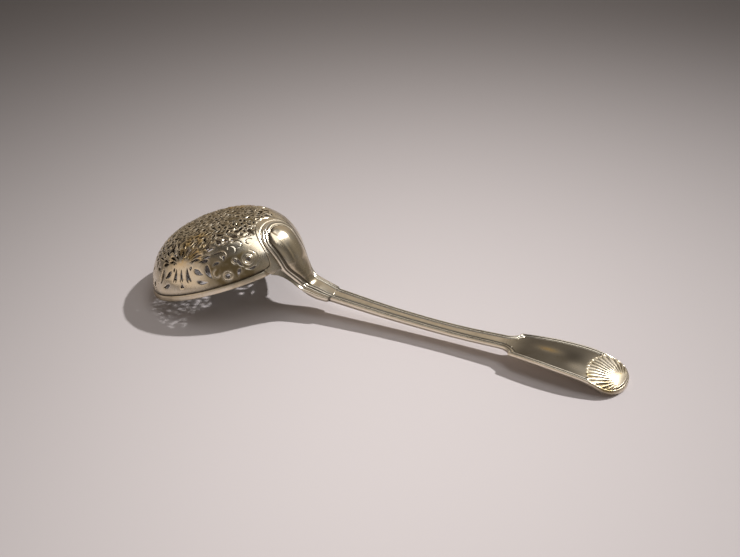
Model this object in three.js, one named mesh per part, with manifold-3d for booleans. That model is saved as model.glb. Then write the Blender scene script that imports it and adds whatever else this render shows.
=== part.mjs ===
import * as THREE from 'three';
import { mergeVertices } from 'three/addons/utils/BufferGeometryUtils.js';
import Module from 'manifold-3d';

// A silver sifter spoon lying face down: the pierced bowl is upside down, its tip and the handle's
// end touch the table. Millimetres. X runs from the bowl's tip to the handle's end, Y is sideways,
// Z is up and the table is Z = 0. The bowl has its own frame: u from its tip to its heel, v sideways
// and w square to the mouth, from the mouth towards the crown.

// Driving dimensions of the whole spoon
const spoonLength = 210;
const bowlLength = 68.2;
const bowlWidth = 67.8;
const bowlDepth = 21.5;
const bowlTilt = THREE.MathUtils.degToRad(18.8);
const sheet = 0.9;
const seam = 0.3;

// Section of the bowl: how square its wall and crown are, and how egg-shaped its mouth is
const wallSquareness = 3.54;
const heelEase = 0.42;
const crownSquareness = 1.83;
const mouthEgg = 0.2;
const crownEgg = 0.06;

// Band round the mouth
const bandHeight = 2.4;
const bandThickness = 1.3;

// Tongue of the handle, which lies on the back of the bowl at the heel
const tongueRise = 17.3;
const tongueHalfWidth = 10;
const tongueFootHalfWidth = 9.4;
const tongueShoulderRise = 10.5;
const tongueTip = 0.01;
const tongueEdge = 0.9;
const tongueBoss = 2.1;
const tongueBossRun = 5.2;
const reserveCrown = 0.15;

// Shank, from the heel down to the shoulders
const shankRun = 17.2;
const shankPull = 12;
const shankSlope = 0.1;
const shankWaist = 6.1;
const shankWaistRun = 5.5;
const shankRoundRun = 6.9;
const shankThickness = 2.3;
const shoulderLead = 6.7;
const shoulderHeight = 7.5;
const shoulderHalfWidth = 5.6;
const shoulderRound = 1.6;

// Stem and fiddle end
const stemHalfWidth = 4.45;
const stemWaist = 3.85;
const stemThickness = 2.1;
const stemBendRun = 25.9;
const stemBendHeight = 5.57;
const stemLowRun = 25.9;
const stemLowHeight = 4.85;
const fiddleLength = 47;
const fiddleFlare = 5;
const notchHalfWidth = 6.7;
const fiddleShoulder = 8.1;
const fiddleHalfWidth = 11.3;
const fiddleSwellRun = 30.8;
const fiddleThickness = 1.6;
const fiddleNeckHeight = 5.7;
const fiddleCrestRun = 16.9;
const fiddleHeight = 5.8;
const fiddleFallRun = 34.3;
const fiddleFallHeight = 4.06;
const endRound = 9.5;
const endFlat = 2.6;
const endSquareness = 2.3;
const restLength = 3.7;
const restLevelRun = 12;

// Raised border along the edges of the handle, and the shell on its end
const borderWidth = 1.9;
const borderRise = 0.25;
const edgeBevel = 0.35;
const shellLength = 16;
const shellFlutes = 9;
const shellFluteWidth = 2.35;
const shellFluteDepth = 0.45;
const shellRise = 0.75;
const shellScallop = 0.8;
const shellArch = 0.03;
const shellEndGap = 0.6;
const shellFadeFrom = 2.4;
const shellFadeTo = 10.8;
const shellLip = 0.1;

// Mesh fineness: points round the bowl and up its wall, and rings along each stretch of the handle
const aroundSteps = 44;
const upSteps = 9;
const tongueTopSteps = 7;
const tongueSteps = 4;
const shankSteps = 6;
const shoulderSteps = 4;
const stemSteps = 11;
const fiddleSteps = 10;
const endSteps = 7;
const reserveStations = [0.62, 0.3];
const fluteSteps = 4;
const shellSteps = 7;

const silver = { color: 0xb8ac94, roughness: 0.32, metalness: 1 };
const darkSilver = { color: 0x9c917b, roughness: 0.4, metalness: 1 };

const wasm = await Module();
wasm.setup();

function toSolid(geometry) {
  const bare = geometry.clone();
  bare.deleteAttribute('normal');
  bare.deleteAttribute('uv');
  const merged = mergeVertices(bare, 1e-4);
  const mesh = new wasm.Mesh({
    numProp: 3,
    vertProperties: new Float32Array(merged.attributes.position.array),
    triVerts: new Uint32Array(merged.index.array),
  });
  mesh.merge();
  return new wasm.Manifold(mesh);
}

function toGeometry(solid) {
  const mesh = solid.getMesh();
  const geometry = new THREE.BufferGeometry();
  geometry.setAttribute('position', new THREE.BufferAttribute(new Float32Array(mesh.vertProperties), 3));
  geometry.setIndex(new THREE.BufferAttribute(new Uint32Array(mesh.triVerts), 1));
  return geometry;
}

// Triangles that cap a ring, facing along the ring's own normal; its points are laid flat across Y
function capTriangles(ring) {
  const normal = new THREE.Vector3();
  ring.forEach((point, k) => {
    normal.add(new THREE.Vector3().crossVectors(point, ring[(k + 1) % ring.length]));
  });
  normal.normalize();
  const across = new THREE.Vector3(0, 1, 0);
  across.addScaledVector(normal, -normal.y).normalize();
  const up = new THREE.Vector3().crossVectors(normal, across);
  const outline = ring.map((point) => new THREE.Vector2(point.dot(across), point.dot(up)));
  return THREE.ShapeUtils.triangulateShape(outline, []);
}

// A closed body from rings of points: the rings are skinned in order and the two ends are capped
function skinRings(rings) {
  const count = rings[0].length;
  const position = [];
  const index = [];
  for (const ring of rings) {
    for (const point of ring) position.push(point.x, point.y, point.z);
  }
  for (let r = 0; r < rings.length - 1; r += 1) {
    for (let k = 0; k < count; k += 1) {
      const a = r * count + k;
      const b = r * count + ((k + 1) % count);
      index.push(a, b, a + count, b, b + count, a + count);
    }
  }
  const last = (rings.length - 1) * count;
  for (const [a, b, c] of capTriangles(rings[0])) index.push(a, c, b);
  for (const [a, b, c] of capTriangles(rings.at(-1))) index.push(last + a, last + b, last + c);
  const geometry = new THREE.BufferGeometry();
  geometry.setAttribute('position', new THREE.Float32BufferAttribute(position, 3));
  geometry.setIndex(index);
  return geometry;
}

function smooth(from, to, value) {
  return THREE.MathUtils.smoothstep(value, from, to);
}

// The bowl's surface, inset by some depth, at an azimuth (0 at the tip, pi at the heel) and a height
function bowlPoint(azimuth, height, inset = 0) {
  const along = -Math.cos(azimuth);
  const level = Math.min(Math.max(height, 0) / (bowlDepth - inset), 1);
  const power = wallSquareness - heelEase * along;
  const shrink = (1 - level ** crownSquareness) ** (1 / power);
  const egg = THREE.MathUtils.lerp(mouthEgg, crownEgg, level);
  const halfLength = bowlLength / 2;
  const halfWidth = bowlWidth / 2 / (1 + mouthEgg ** 2 / 2);
  const u = halfLength + (halfLength - inset) * along * shrink;
  const v = (halfWidth - inset) * Math.sin(azimuth) * (1 - egg * along) * shrink;
  return new THREE.Vector3(u, v, height);
}

function bowlNormal(azimuth, height) {
  const step = 0.01;
  const top = Math.min(height + step, bowlDepth - step);
  const around = bowlPoint(azimuth + step, top - step).sub(bowlPoint(azimuth - step, top - step));
  const up = bowlPoint(azimuth, top).sub(bowlPoint(azimuth, top - 2 * step));
  return around.cross(up).normalize().negate();
}

// From the bowl's frame to the spoon's
const bowlFrame = new THREE.Matrix4().makeRotationY(-bowlTilt);

// Height on the bowl at an arc length above the mouth, measured along a meridian
function heightAtArc(azimuth, arc) {
  const steps = 240;
  let length = 0;
  let last = bowlPoint(azimuth, 0);
  for (let k = 1; k <= steps; k += 1) {
    const height = bowlDepth * Math.sin((k / steps) * Math.PI / 2);
    const next = bowlPoint(azimuth, height);
    length += next.distanceTo(last);
    if (length >= arc) return height;
    last = next;
  }
  return bowlDepth;
}

// Rings from one height up to the crown, then the crown's centre point
function domeRings(from, inset) {
  const rings = [];
  const start = Math.asin(from / (bowlDepth - inset));
  for (let k = 0; k < upSteps; k += 1) {
    const angle = THREE.MathUtils.lerp(start, Math.PI / 2, k / upSteps);
    const height = (bowlDepth - inset) * Math.sin(angle);
    const ring = [];
    for (let n = 0; n < aroundSteps; n += 1) {
      ring.push(bowlPoint((n / aroundSteps) * 2 * Math.PI, height, inset));
    }
    rings.push(ring);
  }
  return rings;
}

function bowlShell() {
  const foot = bandHeight + seam;
  const outer = domeRings(foot, 0);
  const inner = domeRings(foot, sheet).reverse();
  const position = [];
  const index = [];
  const rings = [...inner, ...outer];
  for (const point of rings.flat()) position.push(point.x, point.y, point.z);
  for (let r = 0; r < rings.length - 1; r += 1) {
    for (let n = 0; n < aroundSteps; n += 1) {
      const a = r * aroundSteps + n;
      const b = r * aroundSteps + ((n + 1) % aroundSteps);
      index.push(a, a + aroundSteps, b, b, a + aroundSteps, b + aroundSteps);
    }
  }
  const centre = bowlLength / 2;
  position.push(centre, 0, bowlDepth - sheet, centre, 0, bowlDepth);
  const innerTop = rings.length * aroundSteps;
  const lastRing = (rings.length - 1) * aroundSteps;
  for (let n = 0; n < aroundSteps; n += 1) {
    const next = (n + 1) % aroundSteps;
    index.push(innerTop, n, next);
    index.push(innerTop + 1, lastRing + next, lastRing + n);
  }
  const geometry = new THREE.BufferGeometry();
  geometry.setAttribute('position', new THREE.Float32BufferAttribute(position, 3));
  geometry.setIndex(index);
  return geometry;
}

// A blade-shaped hole: widest near its foot, pointed at its head, its spine bent through an angle
function bladeOutline(length, width, bend) {
  const widths = [0.7, 1, 0.6];
  const left = [];
  const right = [];
  let x = 0;
  let y = -length / 2;
  const step = length / (widths.length + 0.5);
  for (let k = 0; k < widths.length; k += 1) {
    const heading = bend * (k / widths.length - 1 / 2);
    const half = (width / 2) * widths[k];
    left.push(new THREE.Vector2(x - half * Math.cos(heading), y + half * Math.sin(heading)));
    right.unshift(new THREE.Vector2(x + half * Math.cos(heading), y - half * Math.sin(heading)));
    x += step * Math.sin(heading);
    y += step * Math.cos(heading);
  }
  const tip = new THREE.Vector2(x, y);
  return [...left, tip, ...right];
}

// A cutter square to the bowl at a place given by azimuth in degrees and arc length above the mouth
function cutterAt(azimuthDegrees, arc, outline, turnDegrees) {
  const azimuth = THREE.MathUtils.degToRad(azimuthDegrees);
  const height = heightAtArc(azimuth, arc);
  const normal = bowlNormal(azimuth, height);
  const crown = new THREE.Vector3(bowlLength / 2, 0, bowlDepth);
  const origin = bowlPoint(azimuth, height);
  const up = crown.sub(origin);
  up.addScaledVector(normal, -up.dot(normal)).normalize();
  const side = new THREE.Vector3().crossVectors(up, normal);
  const reach = 4 * sheet;
  const prism = new THREE.ExtrudeGeometry(new THREE.Shape(outline), { depth: reach, bevelEnabled: false });
  prism.translate(0, 0, -reach / 2);
  prism.rotateZ(THREE.MathUtils.degToRad(turnDegrees));
  prism.applyMatrix4(new THREE.Matrix4().makeBasis(side, up, normal).setPosition(origin));
  return toSolid(prism);
}

// Piercing, as rows of blades: place along the row, arc length above the mouth, size and lean.
// Each row is mirrored about the spoon's long axis.
const fanBlades = [
  { off: 0, arc: 10.6, length: 5.8, width: 1.7, lean: 0, bend: 0 },
  { off: 0, arc: 5.9, length: 1.8, width: 1.7, lean: 0, bend: 0 },
  { off: 5.6, arc: 10.5, length: 5.4, width: 1.7, lean: 6, bend: 0.3 },
  { off: 12.3, arc: 11, length: 4.6, width: 1.7, lean: 26, bend: 0.6 },
  { off: 18.6, arc: 9, length: 5.2, width: 1.7, lean: 4, bend: -0.7 },
  { off: 13, arc: 5.9, length: 4, width: 2, lean: 74, bend: 0.4 },
];
const fanCentres = [0, 84];

const sideBlades = [
  { at: 37, arc: 11.4, length: 4.6, width: 2.1, lean: -20, bend: 0.6 },
  { at: 47, arc: 11.4, length: 4.6, width: 2.1, lean: 20, bend: -0.6 },
  { at: 112, arc: 10.2, length: 4.8, width: 2.1, lean: -12, bend: 1 },
  { at: 121, arc: 6.2, length: 4.4, width: 2.1, lean: 60, bend: -0.8 },
  { at: 130, arc: 10.4, length: 4.2, width: 1.9, lean: 0, bend: -1.4 },
  { at: 138, arc: 9.6, length: 2.6, width: 2.6, lean: 0, bend: 0 },
  { at: 146, arc: 10.4, length: 4.2, width: 1.9, lean: 0, bend: 1.4 },
];

const crownRows = [
  { count: 9, from: 9, to: 140, arc: 16.4, length: 4.2, width: 2, lean: 86, bend: 0.5 },
  { count: 9, from: 9, to: 152, arc: 22.2, length: 5.6, width: 2.9, lean: 14, bend: 1.4 },
  { count: 6, from: 16, to: 160, arc: 29.4, length: 5.6, width: 3.2, lean: -14, bend: -1.1 },
  { count: 4, from: 24, to: 158, arc: 35.9, length: 4.8, width: 3.2, lean: 10, bend: 0.8 },
  { count: 2, from: 45, to: 135, arc: 41, length: 4.4, width: 3, lean: 0, bend: 0 },
];

function holeList() {
  const holes = [];
  const add = (blade, at, mirrored) => {
    const sign = mirrored ? -1 : 1;
    const outline = bladeOutline(blade.length, blade.width, sign * blade.bend);
    holes.push(cutterAt(sign * at, blade.arc, outline, -sign * blade.lean));
  };
  for (const mirrored of [false, true]) {
    for (const centre of fanCentres) {
      for (const blade of fanBlades) {
        const onAxis = blade.off === 0;
        if (centre === 0 && onAxis && mirrored) continue;
        add(blade, centre + blade.off, mirrored);
        if (centre !== 0 && !onAxis) {
          add({ ...blade, lean: -blade.lean, bend: -blade.bend }, centre - blade.off, mirrored);
        }
      }
    }
    for (const blade of sideBlades) add(blade, blade.at, mirrored);
    for (const row of crownRows) {
      for (let k = 0; k < row.count; k += 1) {
        const sweep = row.count > 1 ? k / (row.count - 1) : 0.5;
        add(row, THREE.MathUtils.lerp(row.from, row.to, sweep), mirrored);
      }
    }
  }
  return holes;
}

function piercedBowl() {
  let solid = toSolid(bowlShell());
  for (const cutter of holeList()) solid = solid.subtract(cutter);
  return toGeometry(solid);
}

// The band follows the mouth, flush with the bowl outside and thicker than its sheet inside
function mouthBand() {
  const position = [];
  const index = [];
  const corners = [[0, 0], [0, bandHeight], [bandThickness, bandHeight], [bandThickness, 0]];
  const steps = aroundSteps * 2;
  for (let n = 0; n < steps; n += 1) {
    const azimuth = (n / steps) * 2 * Math.PI;
    for (const [inset, height] of corners) {
      const point = bowlPoint(azimuth, height, inset);
      position.push(point.x, point.y, point.z);
    }
  }
  const sides = corners.length;
  for (let n = 0; n < steps; n += 1) {
    for (let k = 0; k < sides; k += 1) {
      const a = n * sides + k;
      const b = n * sides + ((k + 1) % sides);
      const c = ((n + 1) % steps) * sides + k;
      const d = ((n + 1) % steps) * sides + ((k + 1) % sides);
      index.push(a, b, c, b, d, c);
    }
  }
  const geometry = new THREE.BufferGeometry();
  geometry.setAttribute('position', new THREE.Float32BufferAttribute(position, 3));
  geometry.setIndex(index);
  return geometry;
}

// Where the handle's underside leaves the bowl's heel, and its shoulders and notch along X
const heelFoot = bowlPoint(Math.PI, 0).add(new THREE.Vector3(seam, 0, 0)).applyMatrix4(bowlFrame);
const shoulderX = heelFoot.x + shankRun;
const notchX = spoonLength - fiddleLength;
const restX = spoonLength - restLength;

// Underside of the handle in the XZ plane: the shank's curve, then the stem and the fiddle end
const wallDown = new THREE.Vector3(0, 0, -1).applyMatrix4(bowlFrame);
const shankCurve = new THREE.CubicBezierCurve3(
  heelFoot,
  heelFoot.clone().addScaledVector(wallDown, shankPull),
  new THREE.Vector3(shoulderX - shankPull, 0, shoulderHeight + shankSlope * shankPull),
  new THREE.Vector3(shoulderX, 0, shoulderHeight),
);
const stemCurve = new THREE.CatmullRomCurve3([
  new THREE.Vector3(shoulderX, 0, shoulderHeight),
  new THREE.Vector3(shoulderX + stemBendRun, 0, stemBendHeight),
  new THREE.Vector3(notchX - stemLowRun, 0, stemLowHeight),
  new THREE.Vector3(notchX, 0, fiddleNeckHeight),
  new THREE.Vector3(notchX + fiddleCrestRun, 0, fiddleHeight),
  new THREE.Vector3(notchX + fiddleFallRun, 0, fiddleFallHeight),
  new THREE.Vector3(restX, 0, 0),
]);

function curveAtX(curve, x) {
  let low = 0;
  let high = 1;
  for (let k = 0; k < 40; k += 1) {
    const middle = (low + high) / 2;
    if (curve.getPoint(middle).x < x) low = middle;
    else high = middle;
  }
  return low;
}

// Underside point and the normal that points away from the table, for a place along X
function underside(x) {
  if (x >= restX) return { point: new THREE.Vector3(x, 0, 0), normal: new THREE.Vector3(0, 0, 1) };
  const curve = x < shoulderX ? shankCurve : stemCurve;
  const t = curveAtX(curve, x);
  const tangent = curve.getTangent(t);
  const normal = new THREE.Vector3(-tangent.z, 0, tangent.x);
  if (x > shoulderX) {
    normal.lerp(new THREE.Vector3(0, 0, 1), smooth(restX - restLevelRun, restX, x)).normalize();
  }
  return { point: curve.getPoint(t), normal };
}

// Half width of the handle along X, from the heel to the end
function halfWidthAt(x) {
  if (x < shoulderX) {
    const waistX = heelFoot.x + shankWaistRun;
    if (x < waistX) {
      const run = (x - heelFoot.x) / (waistX - heelFoot.x);
      return THREE.MathUtils.lerp(tongueFootHalfWidth, shankWaist, Math.sin(run * Math.PI / 2));
    }
    const narrowing = smooth(shoulderX - shoulderLead, shoulderX, x);
    const base = THREE.MathUtils.lerp(shankWaist, shoulderHalfWidth, narrowing);
    const corner = Math.max(0, x - (shoulderX - shoulderRound)) / shoulderRound;
    const drop = shoulderHalfWidth - stemHalfWidth;
    return base - drop * (1 - Math.sqrt(Math.max(0, 1 - corner * corner)));
  }
  if (x < notchX - fiddleFlare) {
    const sweep = (x - shoulderX) / (notchX - fiddleFlare - shoulderX);
    return stemHalfWidth - (stemHalfWidth - stemWaist) * Math.sin(sweep * Math.PI);
  }
  if (x < notchX) {
    const sweep = (x - notchX + fiddleFlare) / fiddleFlare;
    return THREE.MathUtils.lerp(stemHalfWidth, notchHalfWidth, sweep ** 2);
  }
  const full = spoonLength - endRound;
  const swell = Math.min((x - notchX) / fiddleSwellRun, 1);
  const side = THREE.MathUtils.lerp(fiddleShoulder, fiddleHalfWidth, Math.sin(swell * Math.PI / 2));
  if (x < full) return side;
  const turn = Math.min((x - full) / endRound, 1);
  return endFlat + (side - endFlat) * (1 - turn ** endSquareness) ** (1 / endSquareness);
}

// Thickness of the handle along X, at its edges and along its middle
function edgeThicknessAt(x) {
  if (x < shoulderX) {
    const thickening = smooth(heelFoot.x, shoulderX - shoulderLead, x);
    return THREE.MathUtils.lerp(tongueEdge, shankThickness, thickening);
  }
  return THREE.MathUtils.lerp(stemThickness, fiddleThickness, smooth(shoulderX, notchX + fiddleFlare, x));
}

function bossAt(x) {
  const fall = smooth(heelFoot.x, heelFoot.x + tongueBossRun, x);
  return (tongueBoss - tongueEdge) * (1 - fall) + reserveCrown;
}

// Heights of one section above the underside: bevelled edge, raised border, hollow, crowned reserve
function sectionProfile(halfWidth, edge, boss) {
  const border = Math.min(borderWidth, halfWidth / 2);
  const bevel = Math.min(edgeBevel, border / 4);
  const inner = halfWidth - border;
  const reserve = (y) => edge + boss * Math.cos((y / inner) * Math.PI / 2);
  const half = [
    [halfWidth, edge - bevel],
    [halfWidth - bevel, edge + borderRise],
    [inner + bevel, edge + borderRise],
    [inner, edge],
    ...reserveStations.map((share) => [inner * share, reserve(inner * share)]),
  ];
  const top = [...half, [0, edge + boss]];
  const otherHalf = half.map(([y, height]) => [-y, height]).reverse();
  const bottom = [-halfWidth, -halfWidth / 2, 0, halfWidth / 2, halfWidth].map((y) => [y, 0]);
  return [...top, ...otherHalf, ...bottom];
}

// One ring of the tongue, lying on the bowl at a height above its mouth
function tongueRing(height) {
  const above = Math.max(0, height - tongueShoulderRise) / (tongueRise - tongueShoulderRise);
  const below = Math.max(0, 1 - height / tongueShoulderRise);
  const flank = tongueHalfWidth - (tongueHalfWidth - tongueFootHalfWidth) * below ** 2;
  const halfWidth = flank * Math.sqrt(1 - above ** 2);
  const boss = (tongueBoss - tongueEdge) * Math.sqrt(1 - above ** 2) + reserveCrown;
  return sectionProfile(halfWidth, tongueEdge, boss).map(([y, lift]) => {
    let low = Math.PI / 2;
    let high = Math.PI;
    for (let k = 0; k < 40; k += 1) {
      const middle = (low + high) / 2;
      if (bowlPoint(middle, height).y > Math.abs(y)) low = middle;
      else high = middle;
    }
    const azimuth = y < 0 ? -low : low;
    const point = bowlPoint(azimuth, height);
    return point.addScaledVector(bowlNormal(azimuth, height), seam + lift).applyMatrix4(bowlFrame);
  });
}

// One ring of the shank, stem or fiddle end; the shank keeps some of the bowl's roundness
function handleRing(x) {
  const { point, normal } = underside(x);
  const halfWidth = halfWidthAt(x);
  const roundness = 1 - smooth(heelFoot.x, heelFoot.x + shankRoundRun, x);
  return sectionProfile(halfWidth, edgeThicknessAt(x), bossAt(x)).map(([y, lift]) => {
    const drop = roundness * (y * y) / bowlWidth;
    return new THREE.Vector3(0, y, 0).add(point).addScaledVector(normal, lift - drop);
  });
}

function steps(from, to, count) {
  return Array.from({ length: count }, (_, k) => THREE.MathUtils.lerp(from, to, k / count));
}

function handleBody() {
  const rings = [];
  const rise = tongueRise - tongueShoulderRise - tongueTip;
  for (const turn of steps(1, 0, tongueTopSteps)) {
    rings.push(tongueRing(tongueShoulderRise + rise * Math.sin(turn * Math.PI / 2)));
  }
  for (const height of steps(tongueShoulderRise, 0, tongueSteps)) rings.push(tongueRing(height));
  const stations = [
    ...steps(heelFoot.x, heelFoot.x + tongueBossRun, shankSteps),
    ...steps(heelFoot.x + tongueBossRun, shoulderX - shoulderRound, shankSteps),
    ...steps(shoulderX - shoulderRound, shoulderX, shoulderSteps),
    ...steps(shoulderX, notchX - fiddleFlare, stemSteps),
    ...steps(notchX - fiddleFlare, notchX, shoulderSteps),
    ...steps(notchX, spoonLength - endRound, fiddleSteps),
    ...steps(spoonLength - endRound, spoonLength, endSteps),
    spoonLength,
  ];
  for (const x of stations) rings.push(handleRing(x));
  return skinRings(rings);
}

// The shell: fluted lobes on the handle's end, with a scalloped edge towards the stem
function shellRelief() {
  const columns = shellFlutes * fluteSteps;
  const halfSpread = shellFlutes * shellFluteWidth / 2;
  const endX = spoonLength - shellEndGap;
  const startX = spoonLength - shellLength;
  const rings = [];
  for (let r = 0; r <= shellSteps; r += 1) {
    const along = r / shellSteps;
    const top = [];
    const bottom = [];
    for (let k = 0; k <= columns; k += 1) {
      const across = k / fluteSteps - shellFlutes / 2;
      const lobe = Math.abs(Math.sin(across * Math.PI + (shellFlutes % 2) * Math.PI / 2));
      const spread = across * shellFluteWidth;
      const edge = startX + shellArch * spread ** 2 + shellScallop * lobe;
      const x = THREE.MathUtils.lerp(edge, endX, along);
      const y = spread * Math.min(1, (halfWidthAt(x) - 2 * edgeBevel) / halfSpread);
      const { point, normal } = underside(x);
      const base = edgeThicknessAt(x);
      const fade = 1 - smooth(startX + shellFadeFrom, startX + shellFadeTo, x);
      const flank = 1 - (spread / halfSpread) ** 4;
      const lift = base + shellRise * flank - shellFluteDepth * lobe * fade;
      const place = (height) => new THREE.Vector3(0, y, 0).add(point).addScaledVector(normal, height);
      top.unshift(place(Math.max(lift, base - shellLip)));
      bottom.push(place(base / 2));
    }
    rings.push([...top, ...bottom]);
  }
  return skinRings(rings);
}

function wholeHandle() {
  return toGeometry(toSolid(handleBody()).add(toSolid(shellRelief())));
}

function named(name, geometry, look) {
  const mesh = new THREE.Mesh(geometry, new THREE.MeshStandardMaterial(look));
  mesh.name = name;
  return mesh;
}

const bowlGroup = new THREE.Group();
bowlGroup.rotation.y = -bowlTilt;
bowlGroup.add(named('pierced_bowl', piercedBowl(), silver));
bowlGroup.add(named('mouth_band', mouthBand(), silver));

const spoon = new THREE.Group();
spoon.add(bowlGroup);
spoon.add(named('handle', wholeHandle(), darkSilver));

// The origin is under the middle of the spoon, on the table
const extent = new THREE.Box3().setFromObject(spoon, true);
spoon.position.set(-(extent.min.x + extent.max.x) / 2, -(extent.min.y + extent.max.y) / 2, -extent.min.z);

const model = new THREE.Group();
model.add(spoon);
export default model;
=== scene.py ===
import math
from collections import namedtuple

import bpy
import numpy as np
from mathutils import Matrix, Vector, kdtree
from mathutils.geometry import delaunay_2d_cdt


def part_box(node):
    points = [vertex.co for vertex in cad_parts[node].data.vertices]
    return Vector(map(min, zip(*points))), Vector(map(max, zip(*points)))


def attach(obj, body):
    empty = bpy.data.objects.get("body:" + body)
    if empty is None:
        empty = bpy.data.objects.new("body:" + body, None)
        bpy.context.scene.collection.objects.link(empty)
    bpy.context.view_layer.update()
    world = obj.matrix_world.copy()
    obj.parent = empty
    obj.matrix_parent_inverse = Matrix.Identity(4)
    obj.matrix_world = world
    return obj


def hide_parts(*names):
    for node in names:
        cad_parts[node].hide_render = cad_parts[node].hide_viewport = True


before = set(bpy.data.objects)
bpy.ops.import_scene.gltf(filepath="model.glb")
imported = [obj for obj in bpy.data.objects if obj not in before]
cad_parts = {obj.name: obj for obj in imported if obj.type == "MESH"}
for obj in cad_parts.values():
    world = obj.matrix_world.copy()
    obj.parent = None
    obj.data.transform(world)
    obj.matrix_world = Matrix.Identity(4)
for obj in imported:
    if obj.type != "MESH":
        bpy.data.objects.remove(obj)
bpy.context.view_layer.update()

# A silver sifter spoon that lies face down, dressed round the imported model. Sizes are millimetres
# until a mesh is made, which is in metres. The bowl has its own frame: u from its tip to its heel,
# v sideways and w square to the mouth, from the mouth towards the crown.

MM = 0.001
SPOON_LENGTH = 210.0
# From X = 0 at the bowl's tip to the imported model's X, in metres
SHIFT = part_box("handle")[1].x - SPOON_LENGTH * MM

# Bowl
BOWL_LENGTH = 68.2
BOWL_WIDTH = 67.8
BOWL_DEPTH = 21.5
BOWL_TILT = math.radians(18.8)
SHEET = 0.9
WALL_SQUARENESS = 3.54
HEEL_EASE = 0.42
CROWN_SQUARENESS = 1.83
MOUTH_EGG = 0.2
CROWN_EGG = 0.06
# Nominal arc from the mouth to the crown, which is also the radius of the flat pattern
ARC = 45.0

# Band at the mouth, and the angles from the heel within which the bowl's skin runs down over it
BAND_HEIGHT = 2.4
SEAM = 0.3
SKIN_FULL = math.radians(31)
SKIN_END = math.radians(36)

# Tongue on the heel
TONGUE_RISE = 16.95
TONGUE_SHOULDER = 10.0
TONGUE_HALF = 10.35
TONGUE_FOOT_HALF = 9.6
# Groove in the bowl just outside the tongue, dark with tarnish and with painted shadow of the tongue's
# edge
GROOVE_OFF = 0.3


# Numbers, points and lines
def smoothstep(low, high, value):
    t = np.clip((value - low) / (high - low), 0, 1)
    return t * t * (3 - 2 * t)


def plateau(start, full, last, end, value):
    """Rises from 0 at start to 1 at full, and falls from last to 0 at end."""
    return smoothstep(start, full, value) * (1 - smoothstep(last, end, value))


def bell(value, middle, reach):
    return np.exp(-((value - middle) / reach) ** 2)


def polar(radius, angle):
    """Points at a radius and an angle in radians."""
    return np.stack([radius * np.cos(angle), radius * np.sin(angle)], 1)


def length_along(line):
    """Length from a line's first point to each of its points."""
    return np.concatenate([[0], np.cumsum(np.linalg.norm(np.diff(line, axis=0), axis=1))])


def from_tip(azimuth):
    """Angle from the tip, 0 to pi on both sides of the bowl."""
    return np.abs((azimuth + math.pi) % (2 * math.pi) - math.pi)


def degrees_and_arc(flat):
    """Degrees from the tip, and arc above the mouth, of points of the flat pattern."""
    angle = np.degrees(np.abs(np.arctan2(flat[:, 1], flat[:, 0])))
    return angle, ARC - np.hypot(flat[:, 0], flat[:, 1])


# The bowl's surface
def shrink_at(azimuth, level):
    """Reach of the bowl at a height, as a share of its reach at the mouth."""
    power = WALL_SQUARENESS + HEEL_EASE * np.cos(azimuth)
    return (1 - np.clip(level, 0, 1) ** CROWN_SQUARENESS) ** (1 / power)


def bowl_uvw(azimuth, level, shrink, inset=0.0):
    """Points of the bowl from azimuth, height as a share of the depth, and shrink."""
    along = -np.cos(azimuth)
    egg = MOUTH_EGG + (CROWN_EGG - MOUTH_EGG) * level
    half_length = BOWL_LENGTH / 2
    half_width = BOWL_WIDTH / 2 / (1 + MOUTH_EGG ** 2 / 2)
    u = half_length + (half_length - inset) * along * shrink
    v = (half_width - inset) * np.sin(azimuth) * (1 - egg * along) * shrink
    return np.stack(np.broadcast_arrays(u, v, (BOWL_DEPTH - inset) * level), -1)


def bowl_at(azimuth, height, inset=0.0):
    """Points of the bowl at heights above the mouth, on its outside or inset from it."""
    level = np.asarray(height, float) / (BOWL_DEPTH - inset)
    return bowl_uvw(azimuth, level, shrink_at(azimuth, level), inset)


def outward(along, across, at):
    """Unit normals of the bowl at points, square to two directions on it."""
    n = np.cross(along, across)
    n /= np.linalg.norm(n, axis=1)[:, None]
    return n * np.sign((n * (at - np.array([BOWL_LENGTH / 2, 0, 0]))).sum(1))[:, None]


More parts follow.
